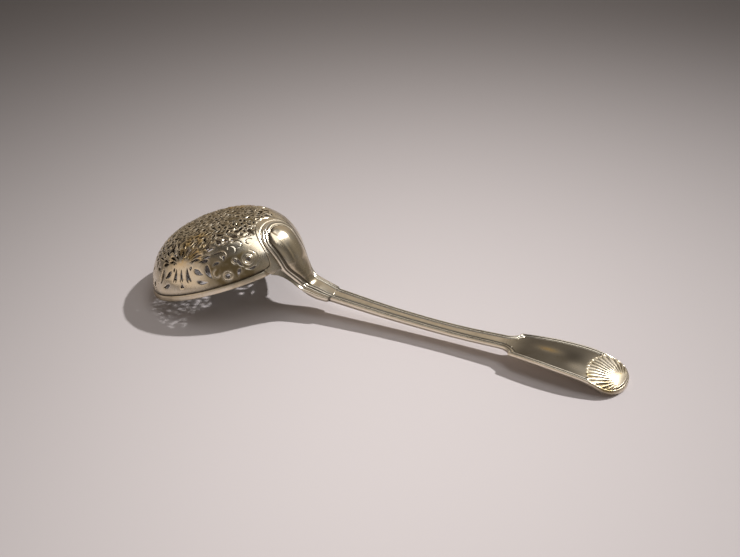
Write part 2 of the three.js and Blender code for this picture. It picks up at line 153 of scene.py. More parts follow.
class Dome:
    """Tables that take a point of the flat pattern to the bowl's outside, at true arc lengths."""

    def __init__(self, azimuths=181, rises=900, shares=900):
        level = np.sin(np.linspace(0, math.pi / 2, rises))[None, :]
        azimuth = np.linspace(0, math.pi, azimuths)[:, None]
        shrink = shrink_at(azimuth, level)
        points = bowl_uvw(azimuth, level, shrink)
        step = np.linalg.norm(np.diff(points, axis=1), axis=2)
        arc = np.concatenate([np.zeros((azimuths, 1)), np.cumsum(step, 1)], 1)
        share = arc / arc[:, -1:]
        self.grid = np.linspace(0, 1, shares)
        self.level = np.stack([np.interp(self.grid, s, level[0]) for s in share])
        self.shrink = np.stack([np.interp(self.grid, s, w) for s, w in zip(share, shrink)])
        self.azimuths, self.shares = azimuths, shares

    def _read(self, table, azimuth, share):
        a = from_tip(azimuth) / math.pi * (self.azimuths - 1)
        s = np.clip(share, 0, 1) * (self.shares - 1)
        i = np.minimum(a.astype(int), self.azimuths - 2)
        j = np.minimum(s.astype(int), self.shares - 2)
        fa, fs = a - i, s - j
        low = table[i, j] * (1 - fs) + table[i, j + 1] * fs
        high = table[i + 1, j] * (1 - fs) + table[i + 1, j + 1] * fs
        return low * (1 - fa) + high * fa

    def uvw(self, flat):
        azimuth = np.arctan2(flat[:, 1], flat[:, 0])
        share = 1 - np.hypot(flat[:, 0], flat[:, 1]) / ARC
        level = self._read(self.level, azimuth, share)
        return bowl_uvw(azimuth, level, self._read(self.shrink, azimuth, share))

    def normal(self, flat, step=0.15):
        along, across = np.array([step, 0.0]), np.array([0.0, step])
        du = self.uvw(flat + along) - self.uvw(flat - along)
        dv = self.uvw(flat + across) - self.uvw(flat - across)
        return outward(du, dv, self.uvw(flat))

    def share_at(self, azimuth, height):
        """Share of the arc at a height, for each azimuth."""
        rows = np.round(from_tip(azimuth) / math.pi * (self.azimuths - 1)).astype(int)
        levels = np.broadcast_to(height / BOWL_DEPTH, rows.shape)
        return np.array([np.interp(one, self.level[k], self.grid) for one, k in zip(levels, rows)])


DOME = Dome()


def parallel_radius(arc):
    """Mean radius of the bowl's level line at an arc length above the mouth."""
    share = np.clip(np.asarray(arc, float) / ARC, 0, 0.985)
    level = np.interp(share, DOME.grid, DOME.level[DOME.azimuths // 2])
    return (BOWL_LENGTH + BOWL_WIDTH) / 4 * shrink_at(math.pi / 2, level)


# Laying shapes on the flat pattern, a disc whose middle is the crown
def turned(points, degrees):
    """Turns local points so that up leans towards the heel."""
    c, s = math.cos(math.radians(degrees)), math.sin(math.radians(degrees))
    return np.stack([points[:, 0] * c + points[:, 1] * s, points[:, 1] * c - points[:, 0] * s], 1)


def on_wall(points, at, arc, turn=0.0, side=-1):
    """Lays local millimetres, x towards the heel and y towards the crown, on the flat pattern.

    at is the angle from the tip in degrees; side is -1 on the near half of the bowl, 1 on the far.
    """
    p = turned(np.asarray(points, float), turn)
    height = arc + p[:, 1]
    azimuth = side * (math.radians(at) + p[:, 0] / parallel_radius(height))
    return polar(ARC - height, azimuth)


def on_crown(points, at, arc, turn=0.0, side=-1):
    """As on_wall, but without the bend of the parallels, for the crown where these are tight."""
    p = turned(np.asarray(points, float), turn)
    a = math.radians(at)
    radius = ARC - arc
    x = (radius - p[:, 1]) * math.cos(a) - p[:, 0] * math.sin(a)
    y = (radius - p[:, 1]) * math.sin(a) + p[:, 0] * math.cos(a)
    return np.stack([x, side * y], 1)


def beside(x, y, angle):
    """A way of laying a shape at local millimetres from its place on the wall."""
    def lay(points, at, arc, turn, side):
        moved = turned(np.asarray(points, float), angle) + np.array([x, y])
        return on_wall(moved, at, arc, turn, side)
    return lay


# Shapes of the holes and engraved lines, in millimetres round their middle
def spine(length, bend, count):
    """A line of one length that turns through bend radians, its right hand side, and shares of it."""
    t = np.linspace(0, 1, count)
    heading = bend * (t - 0.5)
    step = length / (count - 1)
    middle = (heading[1:] + heading[:-1]) / 2
    x = np.concatenate([[0], np.cumsum(np.sin(middle))]) * step
    y = np.concatenate([[0], np.cumsum(np.cos(middle))]) * step
    line = np.stack([x, y], 1)
    right = np.stack([np.cos(heading), -np.sin(heading)], 1)
    return line - (line[0] + line[-1]) / 2, right, t


def comma(length, width, bend=0.0, head=0.62, count=13):
    """A curved drop. Its fat end is at head, a share of the length from its foot."""
    line, right, t = spine(length, bend, count)
    power = math.log(0.5) / math.log(head)
    half = width / 2 * np.sin(math.pi * t ** power) ** 0.75
    side = right * half[:, None]
    return np.concatenate([line + side, (line - side)[-2:0:-1]])


def round_hole(radius, count=14):
    return polar(radius, np.arange(count) / count * 2 * math.pi)


def forked(length, width, bend=0.0):
    """A blade with a pointed head and two toes at its foot."""
    half = [(0, 0.5), (0.22, 0.3), (0.4, 0.05), (0.46, -0.2), (0.5, -0.4), (0.34, -0.5), (0.2, -0.38)]
    right = [(x * width, y * length) for x, y in half]
    left = [(-x, y) for x, y in right[:0:-1]]
    p = np.array(right + [(0, -0.26 * length)] + left)
    turn = bend * p[:, 1] / length
    return np.stack([p[:, 0] * np.cos(turn) - p[:, 1] * np.sin(turn) / 2, p[:, 1]], 1)


def trefoil(size):
    a = np.arange(24) / 24 * 2 * math.pi
    return polar(size / 2 * (0.78 + 0.22 * np.cos(3 * (a - math.pi / 2))), a)


def arc_line(radius, start, end, count=16):
    """An arc, angles in degrees from the heel side, counted towards the crown."""
    return polar(radius, np.radians(np.linspace(start, end, count)))


def curl(radius, turns, start, count=26, inner=0.4):
    """A volute that winds in from radius to the share inner of it."""
    t = np.linspace(0, 1, count)
    return polar(radius * (1 - (1 - inner) * t), math.radians(start) + t * turns * 2 * math.pi)


class Piercing:
    """Holes and engraved lines on the flat pattern, on both sides of the bowl unless told otherwise."""

    def __init__(self):
        self.holes = []
        self.lines = []

    def clear_of_heel(self, flat, gap=2.6):
        """Whether a shape keeps a gap to the tongue of the handle."""
        q = DOME.uvw(flat)
        v, w = np.abs(q[:, 1]), q[:, 2]
        rise = (w - TONGUE_SHOULDER) / (TONGUE_RISE - TONGUE_SHOULDER + gap * 0.75)
        reach = (TONGUE_HALF + gap) * np.sqrt(np.clip(1 - np.clip(rise, 0, 1) ** 2, 0, 1))
        return not ((q[:, 0] > BOWL_LENGTH / 2) & (v < reach) & (rise < 1)).any()

    def cut(self, shape, at, arc, turn=0.0, lay=on_wall, sides=(-1, 1)):
        for side in sides:
            flat = lay(shape, at, arc, turn, side)
            if self.clear_of_heel(flat):
                self.holes.append(flat)

    def engrave(self, line, at, arc, turn=0.0, width=0.4, depth=0.12, lay=on_wall, sides=(-1, 1)):
        for side in sides:
            flat = lay(line, at, arc, turn, side)
            if self.clear_of_heel(flat):
                self.lines.append((flat, width, depth))

    def scroll(self, length, width, bend, at, arc, turn, lay=on_wall, rim=0.55):
        """A comma with an engraved line that follows its outer side."""
        self.cut(comma(length, width, bend), at, arc, turn, lay)
        line, right, t = spine(length * 0.92, bend, 10)
        offset = -np.sign(bend) * (width / 2 * np.sin(math.pi * t) ** 0.6 + rim)
        self.engrave(line + right * offset[:, None], at, arc, turn, 0.35, 0.1, lay)

    def eye(self, at, arc, radius, rings):
        """A round hole with engraved rings."""
        self.cut(round_hole(radius), at, arc)
        for ring in rings:
            self.engrave(arc_line(ring, 0, 360, 12 + int(8 * ring)), at, arc, 0, 0.38)


# Angle from the tip of the fan of slits on each side of the bowl
FAN = 85.3

# Commas of the frieze: length, width, bend, angle from the tip, arc, turn
FRIEZE = (
    (1.9, 1.0, 0.0, 93.5, 13.0, 8),
    (4.8, 2.0, 0.7, 100.0, 11.0, -48),
    (4.1, 1.6, -0.3, 105.0, 15.2, 96),
    (1.4, 0.7, 0.0, 94.8, 15.6, 50),
    (6.8, 2.2, 1.1, 108.5, 10.0, -10),
    (5.0, 1.6, 0.8, 101.5, 6.6, -72),
    (3.3, 1.2, 1.0, 114.4, 12.3, 78),
    (2.8, 1.2, -1.6, 120.5, 14.2, 10),
    (4.4, 1.4, 0.9, 132.0, 9.7, -14),
    (4.0, 1.1, -1.2, 137.8, 6.4, 90),
    (5.6, 0.8, 0.35, 116.3, 16.7, 86),
    (3.3, 1.5, 0.6, 128.6, 6.2, 40),
)

# Scrolls between the palmettes and the heel, and between them and the tip, in the same order
UPPER = (
    (5.2, 1.9, -1.3, 110.5, 22.3, 192),
    (4.4, 2.0, 1.2, 119.0, 22.8, 158),
    (2.5, 1.1, 0.3, 129.0, 22.2, -12),
    (4.8, 2.2, 0.9, 137.0, 22.9, 140),
    (3.4, 1.6, 0.9, 152.5, 25.4, 60),
    (4.4, 1.7, 1.0, 158.3, 21.7, 16),
    (3.0, 1.0, -0.7, 151.6, 20.9, 82),
    (3.6, 1.3, 0.8, 104.5, 26.6, -20),
    (3.2, 1.3, -0.8, 114.5, 27.4, 20),
    (3.8, 1.5, 1.0, 125.0, 27.2, -60),
    (3.4, 1.4, -0.9, 134.5, 28.2, 40),
    (3.2, 1.3, 0.9, 144.5, 29.4, -50),
    (3.0, 1.3, 0.8, 156.0, 29.6, 30),
)

# Commas near the tip, in the order of the frieze
TIP_DROPS = (
    (4.6, 1.6, 0.8, 8.5, 10.0, 24),
    (4.2, 1.5, -0.7, 7.5, 5.4, 70),
    (3.2, 1.4, 0.8, 17.0, 5.0, 50),
    (3.2, 1.3, 0.6, 16.5, 13.6, 60),
    (4.0, 1.5, -1.0, 6.0, 16.6, 40),
)

# Round holes with engraved rings: degrees from the fan, arc, radius, radii of the rings
BIG_EYE = (53.1, 10.0, 0.95, (1.6, 2.4))
EYES = (BIG_EYE, (43.4, 11.3, 0.6, (1.25,)), (34.6, 6.2, 1.0, (1.9,)))

# Long lines over the fan's neighbours: length, degrees from the fan, arc, turn, width
LONG_LINES = ((9.5, 23, 17.4, 72, 0.5), (8.0, 24, 18.4, 74, 0.4))

# Volutes engraved on the wall: radius, turns, start, angle from the tip, arc
STRAPWORK = (
    (2.2, -0.75, 90, 120.8, 15.2),
    (2.5, 0.6, -60, 129.0, 17.0),
    (2.7, -0.6, 120, 136.5, 17.6),
    (2.3, 0.65, 20, 147.0, 16.8),
    (2.5, -0.6, 200, 150.5, 12.4),
    (2.2, 0.6, 100, 113.5, 8.0),
)


def about_fan(at, sign):
    """An angle from the tip, or with sign -1 its mirror image about the fan."""
    return FAN + sign * (at - FAN)


def frieze(p):
    """The fan of slits and the commas, eyes and lines on both sides of it."""
    p.cut(forked(5.4, 1.5), FAN - 0.6, 10.5, 0)
    p.cut(forked(5.8, 1.8, 0.5), FAN - 6, 10.6, 8)
    p.cut(forked(6.4, 2.1, -0.5), FAN + 5, 10.3, -8)
    p.cut(trefoil(2.0), FAN - 0.4, 6.0)
    for sign in (1, -1):
        for length, width, bend, at, arc, turn in FRIEZE:
            p.cut(comma(length, width, sign * bend), about_fan(at, sign), arc, sign * turn)
        for off, arc, radius, rings in EYES:
            p.eye(FAN + sign * off, arc, radius, rings)
        for length, off, arc, turn, width in LONG_LINES:
            p.engrave(spine(length, -0.5 * sign, 16)[0], FAN + sign * off, arc, sign * turn, width)
        for radius, turns, start, at, arc in STRAPWORK:
            p.engrave(curl(radius, turns, start) * [sign, 1], about_fan(at, sign), arc, 0, 0.36, 0.09)
        around = arc_line(4.3, -130, 50, 30) * [sign, 1]
        p.engrave(around, FAN + sign * BIG_EYE[0], BIG_EYE[1], 0, 0.45)


# Middle of the palmette above the mouth, and how flat it is
PALMETTE_ARC = 15.4
PALMETTE_FLATNESS = 0.86


def palmette(p, fingers=5, fan_step=17.0):
    """Leaf fingers that radiate from the fan, parted by slits and veined."""
    for k in range(-fingers, fingers + 1):
        angle = k * fan_step
        reach = 5.6 if k % 2 else 6.4
        x = math.sin(math.radians(angle)) * reach
        y = math.cos(math.radians(angle)) * reach * PALMETTE_FLATNESS
        bend = 0.16 * k
        p.cut(comma(5.0, 1.15, bend, 0.66), FAN, PALMETTE_ARC, 0, beside(x, y, angle))
        p.cut(comma(3.8, 1.25, bend, 0.6), FAN, PALMETTE_ARC, 0, beside(1.9 * x, 1.92 * y, angle * 0.94))
    for k in range(-fingers, fingers):
        angle = (k + 0.5) * fan_step
        x = math.sin(math.radians(angle)) * 7.6
        y = math.cos(math.radians(angle)) * 7.6 * PALMETTE_FLATNESS
        line = spine(6.6, 0.16 * (k + 0.5), 10)[0]
        p.engrave(line, FAN, PALMETTE_ARC, 0, 0.34, 0.12, beside(x, y, angle))


def upper(p):
    """The scrolls between frieze and crown, and the drops at the heel and the tip."""
    for sign in (1, -1):
        for length, width, bend, at, arc, turn in UPPER:
            p.scroll(length, width, sign * bend, about_fan(at, sign), arc, sign * turn)
        p.eye(FAN + sign * 60.2, 25.3, 1.2, (1.8,))
    for at in (171, 178.5):
        p.cut(comma(3.2, 1.4, 0.7), at, 25.2, -30)
    p.cut(comma(5.2, 1.6), 0, 10.5, 0, sides=(1,))
    p.cut(trefoil(2.0), 0, 6.0, sides=(1,))
    for length, width, bend, at, arc, turn in TIP_DROPS:
        p.cut(comma(length, width, bend), at, arc, turn)


# Rings of the crown: radius, count, length, width, bend, turn, phase as a share of a step
CROWN_RINGS = (
    (2.9, 8, 2.7, 1.35, 0.0, 0.0, 0.0),
    (6.1, 12, 2.2, 1.2, 0.8, 38.0, 0.5),
    (9.6, 14, 3.2, 1.5, 1.2, -28.0, 0.5),
    (13.2, 20, 3.0, 1.35, -1.1, 36.0, 0.5),
)
# Distances from the crown of the drops that lie on the middle line, towards the tip
AXIS_DROPS = (16.0, 18.7, 21.4, 24.1, 26.8)
CROWN_DOTS = ((4.6, 8, 0.42), (8.0, 12, 0.45), (11.5, 20, 0.5))


def crown(p):
    """Rings of scrolls and dots round a hole in the crown."""
    p.cut(round_hole(1.0, 18), 0, ARC, lay=on_crown, sides=(1,))
    for radius, count, length, width, bend, turn, phase in CROWN_RINGS:
        for k in range(count // 2):
            if phase or k:
                at = (k + phase) * 360 / count
                p.scroll(length, width, bend, at, ARC - radius, turn, on_crown, 0.5)
        if not phase:
            for at in (0, 180):
                p.cut(comma(length, width), at, ARC - radius, 0, on_crown, (1,))
    for radius in AXIS_DROPS:
        p.cut(comma(2.2, 1.2), 0, ARC - radius, 0, on_crown, (1,))
    for radius, count, size in CROWN_DOTS:
        for k in range(count // 2):
            p.cut(round_hole(size, 9), (k + 0.5) * 360 / count, ARC - radius, 0, on_crown)


# Passes that fill the gaps of the upper part: tries, least and most length, least and most width
FILLINGS = ((700, 2.2, 3.0, 1.15, 1.5), (1300, 1.5, 2.1, 0.9, 1.2), (2000, 0.8, 1.2, 0.7, 0.95))
# Reach of the filling from the crown, cell of the grid that records free places, and least web
FILL_RADIUS = 30.0
FILL_CELL = 0.2
FILL_WEB = 0.38


def room_for_filling(flat):
    """The upper part of the bowl: all round the crown, and further down towards the tip."""
    angle, arc = degrees_and_arc(flat)
    lowest = 14.0 + 12.0 * smoothstep(50, 75, angle) - 5.5 * smoothstep(100, 125, angle)
    return (arc > lowest) & (flat[:, 1] < -0.5)


def free_cells(holes, grid):
    """Which points of a grid are clear of the holes and on the part that is filled."""
    usable = room_for_filling(grid)
    free = np.zeros(len(grid), bool)
    outlines = np.concatenate([resampled(hole, 0.3, True) for hole in holes])
    free[usable] = nearest(tree_of(outlines), grid[usable])[0] > FILL_WEB
    for hole in holes:
        free[enclosed(hole, grid, free)] = False
    return free


def fill_gaps(p):
    """Small drops wherever the upper part still has room, turned along slow swirls."""
    chance = np.random.default_rng(5)
    cells = np.arange(-ARC, ARC, FILL_CELL)
    x, y = np.meshgrid(cells, cells, indexing="ij")
    free = free_cells(p.holes, np.stack([x.ravel(), y.ravel()], 1)).reshape(x.shape)
    reach = int(3.0 / FILL_CELL)
    for tries, short, long, thin, thick in FILLINGS:
        for _ in range(tries):
            radius = FILL_RADIUS * math.sqrt(chance.random())
            at = chance.random() * math.pi
            middle = np.array([radius * math.cos(at), -radius * math.sin(at)])
            swirl = 2.2 * math.sin(middle[0] / 3.7) + 2.0 * math.cos(middle[1] / 3.1 + 1.0)
            turn = math.degrees(swirl) + 25 * chance.normal()
            length, width = chance.uniform(short, long), chance.uniform(thin, thick)
            flat = turned(comma(length, width, chance.uniform(-1.4, 1.4)), turn) + middle
            place = np.round((flat + ARC) / FILL_CELL).astype(int)
            if not free[place[:, 0], place[:, 1]].all() or not p.clear_of_heel(flat):
                continue
            p.holes += [flat, flat * [1, -1]]
            i, j = np.round((middle + ARC) / FILL_CELL).astype(int)
            window = (slice(i - reach, i + reach), slice(j - reach, j + reach))
            near = np.stack([x[window].ravel(), y[window].ravel()], 1)
            away = np.linalg.norm(near[:, None] - flat[None], axis=2).min(1)
            taken = (away < FILL_WEB) | inside(flat, near)
            free[window] &= ~taken.reshape(x[window].shape)


# Right half of the line round the heel, from the mouth up: sideways place and height
HEEL_LINE = (
    (18.6, 2.9), (16.6, 2.95), (14.9, 3.1), (13.6, 3.7), (13.0, 4.6), (12.4, 7.1), (11.8, 10.0),
    (11.2, 11.8), (10.2, 14.0), (8.5, 16.0), (6.0, 17.6), (3.0, 18.5),
)
HEEL_LINE_TOP = (0.0, 18.8)


def border(p):
    """The engraved line round the heel, which runs out into the seam, and the groove at the tongue."""
    left = [(-v, w) for v, w in HEEL_LINE[::-1]]
    line = smooth_line(np.array([*HEEL_LINE, HEEL_LINE_TOP, *left]), 0.6)
    p.lines.append((flat_at_heel(line), 0.62, 0.28))
    # The groove round the tongue: its dark is tarnish and painted shadow of the tongue's edge
    height = TONGUE_RISE * np.sin(np.linspace(0.05, math.pi / 2, 60))
    above = height + GROOVE_OFF * height / TONGUE_RISE
    half = np.stack([tongue_half_width(height) + GROOVE_OFF, above], 1)
    round_tongue = np.concatenate([half, half[-2::-1] * [-1, 1]])
    p.lines.append((flat_at_heel(round_tongue), 0.9, 0.2))


def smooth_line(points, spacing):
    """A rounded line through points, with even spacing."""
    p = points
    for _ in range(2):
        cut = np.empty((2 * len(p), p.shape[1]))
        cut[0], cut[-1] = p[0], p[-1]
        cut[1:-1:2] = 0.75 * p[:-1] + 0.25 * p[1:]
        cut[2:-1:2] = 0.25 * p[:-1] + 0.75 * p[1:]
        p = cut
    return resampled(p, spacing)


def resampled(p, spacing, closed=False):
    """The same line with even spacing."""
    if closed:
        p = np.concatenate([p, p[:1]])
    length = length_along(p)
    count = max(3, int(round(length[-1] / spacing)) + 1)
    at = np.linspace(0, length[-1], count)
    out = np.stack([np.interp(at, length, p[:, k]) for k in range(p.shape[1])], 1)
    return out[:-1] if closed else out


def azimuth_beside_heel(v, w, count):
    """Azimuth of the points of the bowl's outside at sideways distances and one height."""
    azimuth = np.linspace(math.pi / 2, math.pi, count)
    across = bowl_at(azimuth, w)[:, 1]
    return np.interp(-np.abs(v), -across, azimuth)


def flat_at_heel(line):
    """From sideways place and height on the heel to the flat pattern."""
    flat = []
    for v, w in line:
        a = azimuth_beside_heel(v, w, 400)
        radius = ARC * (1 - DOME.share_at(np.array([a]), w)[0])
        flat.append((radius * math.cos(a), math.copysign(radius * math.sin(a), v)))
    return np.array(flat)


def whole_pattern():
    p = Piercing()
    for draw in (frieze, palmette, upper, crown, fill_gaps, border):
        draw(p)
    return p


# Making meshes
def bowl_to_spoon(q):
    """From the bowl's frame to the spoon's, whose X starts at the tip and whose Z at the table."""
    c, s = math.cos(BOWL_TILT), math.sin(BOWL_TILT)
    return np.stack([q[..., 0] * c - q[..., 2] * s, q[..., 1], q[..., 0] * s + q[..., 2] * c], -1)


def add_object(name, data, location=(0, 0, 0)):
    piece = bpy.data.objects.new(name, data)
    piece.location = location
    bpy.context.scene.collection.objects.link(piece)
    return piece


def new_mesh(name, points, faces, sharp=35.0):
    """A smooth piece from the spoon's millimetres, hard where it bends by more than sharp degrees."""
    mesh = bpy.data.meshes.new(name)
    places = points * MM + np.array([SHIFT, 0.0, 0.0])
    mesh.from_pydata([tuple(p) for p in places], [], [tuple(int(i) for i in f) for f in faces])
    mesh.update()
    mesh.shade_smooth()
    mesh.set_sharp_from_angle(angle=math.radians(sharp))
    return add_object(name, mesh)


def add_layers(piece, **layers):
    """Stores values for each point of a piece, for its material to read."""
    for name, values in layers.items():
        layer = piece.data.attributes.new(name, "FLOAT", "POINT")
        layer.data.foreach_set("value", np.asarray(values, np.float32))


def skinned(rings, sides, closed):
    """Quads between neighbouring rings of points."""
    first = np.arange(rings if closed else rings - 1)[:, None] * sides
    second = (first + sides) % (rings * sides)
    k = np.arange(sides)[None, :]
    j = (k + 1) % sides
    return np.stack([first + k, first + j, second + j, second + k], -1).reshape(-1, 4)


def tree_of(points):
    tree = kdtree.KDTree(len(points))
    for k, p in enumerate(points):
        tree.insert((p[0], p[1], 0.0), k)
    tree.balance()
    return tree


def nearest(tree, points):
    """Distance and number of the tree's nearest point, for each point."""
    found = [tree.find((p[0], p[1], 0.0)) for p in points]
    return np.array([f[2] for f in found]), np.array([f[1] for f in found])


def distance_to(line, points):
    """Distance from points to a closed line with close points."""
    _, k = nearest(tree_of(line), points)
    best = np.full(len(points), np.inf)
    for first, second in ((k - 1, k), (k, (k + 1) % len(line))):
        a, ab = line[first], line[second] - line[first]
        t = np.clip(((points - a) * ab).sum(1) / np.maximum((ab * ab).sum(1), 1e-12), 0, 1)
        best = np.minimum(best, np.linalg.norm(points - a - ab * t[:, None], axis=1))
    return best


def inside(polygon, points):
    """Which points lie in a polygon."""
    x, y = points[:, 0][:, None], points[:, 1][:, None]
    a, b = polygon, np.roll(polygon, -1, 0)
    crosses = (a[:, 1] > y) != (b[:, 1] > y)
    with np.errstate(divide="ignore", invalid="ignore"):
        at = (b[:, 0] - a[:, 0]) * (y - a[:, 1]) / (b[:, 1] - a[:, 1]) + a[:, 0]
    return ((crosses & (x < at)).sum(1) % 2).astype(bool)


def enclosed(polygon, points, among):
    """Numbers of the points marked in among that lie in a polygon."""
    low, high = polygon.min(0), polygon.max(0)
    close = np.flatnonzero(among & (points > low).all(1) & (points < high).all(1))
    return close[inside(polygon, points[close])]


def sideways(line, closed=False):
    """Unit vectors to the right of a line at each of its points."""
    if closed:
        along = np.roll(line, -1, 0) - np.roll(line, 1, 0)
    else:
        along = np.gradient(line, axis=0)
    along /= np.linalg.norm(along, axis=1)[:, None]
    return np.stack([along[:, 1], -along[:, 0]], 1)


# Spacing of points round the holes, along the engraved lines and in the plain sheet
HOLE_STEP = 0.28
LINE_STEP = 0.4
FILL_STEP = 0.62
# Bevel round a hole: its width, and how far it falls
HOLE_BEVEL = 0.14
HOLE_DROP = 0.07
# Height of the ground between the holes over their rims, on the chased part
PILLOW = 0.26
# Least height of the bowl's skin above the mouth
SKIN_FOOT = 0.04


def foot_height(azimuth):
    """Where the bowl's skin ends above the mouth: above the band, but lower at the heel."""
    off = math.pi - from_tip(azimuth)
    return (BAND_HEIGHT + SEAM) * smoothstep(SKIN_FULL, SKIN_END, off) + SKIN_FOOT


def rim_radius(azimuth):
    """Radius of the flat pattern where the bowl's skin ends."""
    return ARC * (1 - DOME.share_at(azimuth, foot_height(azimuth)))


class Net:
    """Points and edges that the triangles of the flat pattern have to keep."""

    def __init__(self):
        self.points = []
        self.edges = []

    def add(self, line, closed):
        start = len(self.points)
        self.points.extend(line)
        count = len(line)
        self.edges.extend((start + k, start + k + 1) for k in range(count - 1))
        if closed:
            self.edges.append((start + count - 1, start))


def hole_outlines(shapes):
    """Evenly spaced outlines, all counterclockwise."""
    outlines = []
    for shape in shapes:
        outline = resampled(shape, HOLE_STEP, True)
        x, y = outline.T
        clockwise = (x * np.roll(y, -1) - y * np.roll(x, -1)).sum() < 0
        outlines.append(outline[::-1] if clockwise else outline)
    return outlines


def even_grid(step):
    """Points of a grid of triangles over the flat pattern."""
    x = np.arange(-ARC, ARC, step)
    rows = np.arange(-ARC, ARC, step * 0.866)
    return np.concatenate([
        np.stack([x + (k % 2) * step / 2, np.full(len(x), y)], 1) for k, y in enumerate(rows)])


def cut_sheet(holes, lines):
    """Points and triangles of the flat pattern without its holes, with edges along each line."""
    net = Net()
    azimuth = np.arange(720) / 720 * 2 * math.pi - math.pi
    radius = rim_radius(azimuth)
    net.add(polar(radius, azimuth), True)
    for outline in holes:
        net.add(outline, True)
        net.add(outline + sideways(outline, True) * HOLE_BEVEL, True)
    for line, width, _ in lines:
        right = sideways(line) * width / 2
        for offset in (-1, 0, 1):
            net.add(line + right * offset, False)
    kept = np.array(net.points)
    fill = even_grid(FILL_STEP)
    edge = rim_radius(np.arctan2(fill[:, 1], fill[:, 0]))
    fill = fill[np.hypot(fill[:, 0], fill[:, 1]) < edge - FILL_STEP / 2]
    fill = fill[nearest(tree_of(kept), fill)[0] > FILL_STEP * 0.4]
    points = [Vector(p) for p in np.concatenate([kept, fill])]
    flat, _, faces, *_ = delaunay_2d_cdt(points, net.edges, [], 0, 1e-5)
    flat = np.array([(p.x, p.y) for p in flat])
    faces = np.array([f for f in faces if len(f) == 3])
    middle = flat[faces].mean(1)
    around = np.arctan2(middle[:, 1], middle[:, 0])
    keep = np.hypot(middle[:, 0], middle[:, 1]) < np.interp(around, azimuth, radius)
    for outline in holes:
        keep[enclosed(outline, middle, keep)] = False
    used, faces = np.unique(faces[keep], return_inverse=True)
    return flat[used], faces.reshape(-1, 3)


def engraving(lines, flat):
    """For each point its share of the nearest line's groove, that line's depth, and its distance."""
    dense = [resampled(line, LINE_STEP / 8) for line, _, _ in lines]
    away, k = nearest(tree_of(np.concatenate(dense)), flat)
    owner = np.repeat(np.arange(len(dense)), [len(line) for line in dense])[k]
    width, depth = np.array([line[1:] for line in lines])[owner].T
    return np.clip(1 - away / (width / 2), 0, 1), depth, away


def thick_sheet(faces, count):
    """Faces of a closed sheet that has count points on its outside and then as many on its inside."""
    edges = np.concatenate([faces[:, [0, 1]], faces[:, [1, 2]], faces[:, [2, 0]]])
    known = {(int(i), int(j)) for i, j in edges}
    walls = [(j, i, i + count, j + count) for i, j in known if (j, i) not in known]
    return [*faces, *(f[::-1] + count for f in faces), *sorted(walls)]


def pierced_bowl(pattern):
    holes = hole_outlines(pattern.holes)
    lines = [(resampled(line, LINE_STEP), width, depth) for line, width, depth in pattern.lines]
    flat, faces = cut_sheet(holes, lines)
    rims = np.concatenate([resampled(outline, HOLE_STEP / 4, True) for outline in holes])
    hole_distance = nearest(tree_of(rims), flat)[0]
    groove, depth, line_distance = engraving(lines, flat)
    base, normal = DOME.uvw(flat), DOME.normal(flat)
    chased = smoothstep(15, 19, degrees_and_arc(flat)[1])
    lift = PILLOW * chased * (smoothstep(0, 1.1, hole_distance) - 1) - depth * groove
    lift -= HOLE_DROP * np.clip(1 - hole_distance / HOLE_BEVEL, 0, 1)
    outer = base + normal * lift[:, None]
    inner = base - normal * SHEET
    a, b, c = (outer[faces[:, k]] for k in range(3))
    if (np.cross(b - a, c - a) * normal[faces[:, 0]]).sum() < 0:
        faces = faces[:, ::-1]
    points = bowl_to_spoon(np.concatenate([outer, inner]))
    piece = new_mesh("bowl_pierced", points, thick_sheet(faces, len(flat)))
    foot = foot_height(np.arctan2(flat[:, 1], flat[:, 0]))
    seam = bell(base[:, 2], foot, 0.7) * smoothstep(1.5, 2.5, foot)
    deep = smoothstep(0.13, 0.2, depth)
    recess = np.maximum(groove * (0.25 + 0.75 * deep), seam)
    # Rubbed bright along shallow lines and hole rims: wear, and also painted highlight where these edges
    # catch the light
    rubbed = np.maximum((1 - deep) * bell(line_distance, 0, 0.5), bell(hole_distance, 0, 0.16))
    # The inside of the sheet is painted nearly black: painted shade over tarnish, with a little gilt
    within = np.ones(len(flat))
    add_layers(
        piece,
        recess=np.concatenate([recess, 0.95 * within]),
        tarnish=np.concatenate([bowl_tarnish(flat) * (1 - 0.9 * rubbed), 0.8 * within]),
        gilt=np.concatenate([gilding(flat), 0.3 * within]),
    )
    return piece


def gilding(flat):
    """Share of gold left on the outside: strong on the palmettes, faint elsewhere."""
    angle, arc = degrees_and_arc(flat)
    leaf = bell(angle, FAN + 4, 16) * plateau(13, 18, 29, 35, arc)
    return np.clip(1.2 * leaf + 0.2, 0, 1)


def bowl_tarnish(flat):
    """Olive tarnish on the heel half of the wall and brown on the crown; the rest is paler."""
    angle, arc = degrees_and_arc(flat)
    wall = plateau(98, 112, 138, 152, angle) * (1 - smoothstep(12, 17, arc))
    brown = smoothstep(22, 28, arc)
    heel = smoothstep(146, 156, angle) * (1 - smoothstep(15, 20, arc))
    leaf = bell(angle, FAN + 6, 18) * (1 - smoothstep(28, 33, arc))
    return np.clip(0.25 + 0.75 * wall + 0.7 * brown - 0.2 * heel - 0.4 * leaf, 0, 1)


# Section of the band, from its foot up the outside and down the inside: inset from the bowl, height
BAND_PROFILE = (
    (0.30, 0.0), (0.14, 0.05), (0.04, 0.18), (-0.02, 0.45), (-0.05, 0.9), (-0.05, 1.5), (-0.02, 1.95),
    (0.05, 2.22), (0.16, 2.36), (0.34, 2.4), (0.97, 2.4), (0.98, 3.0), (1.04, 3.2), (1.18, 3.25),
    (1.32, 3.0), (1.36, 2.4), (1.38, 1.2), (1.34, 0.4), (1.2, 0.08), (1.0, 0.0),
)


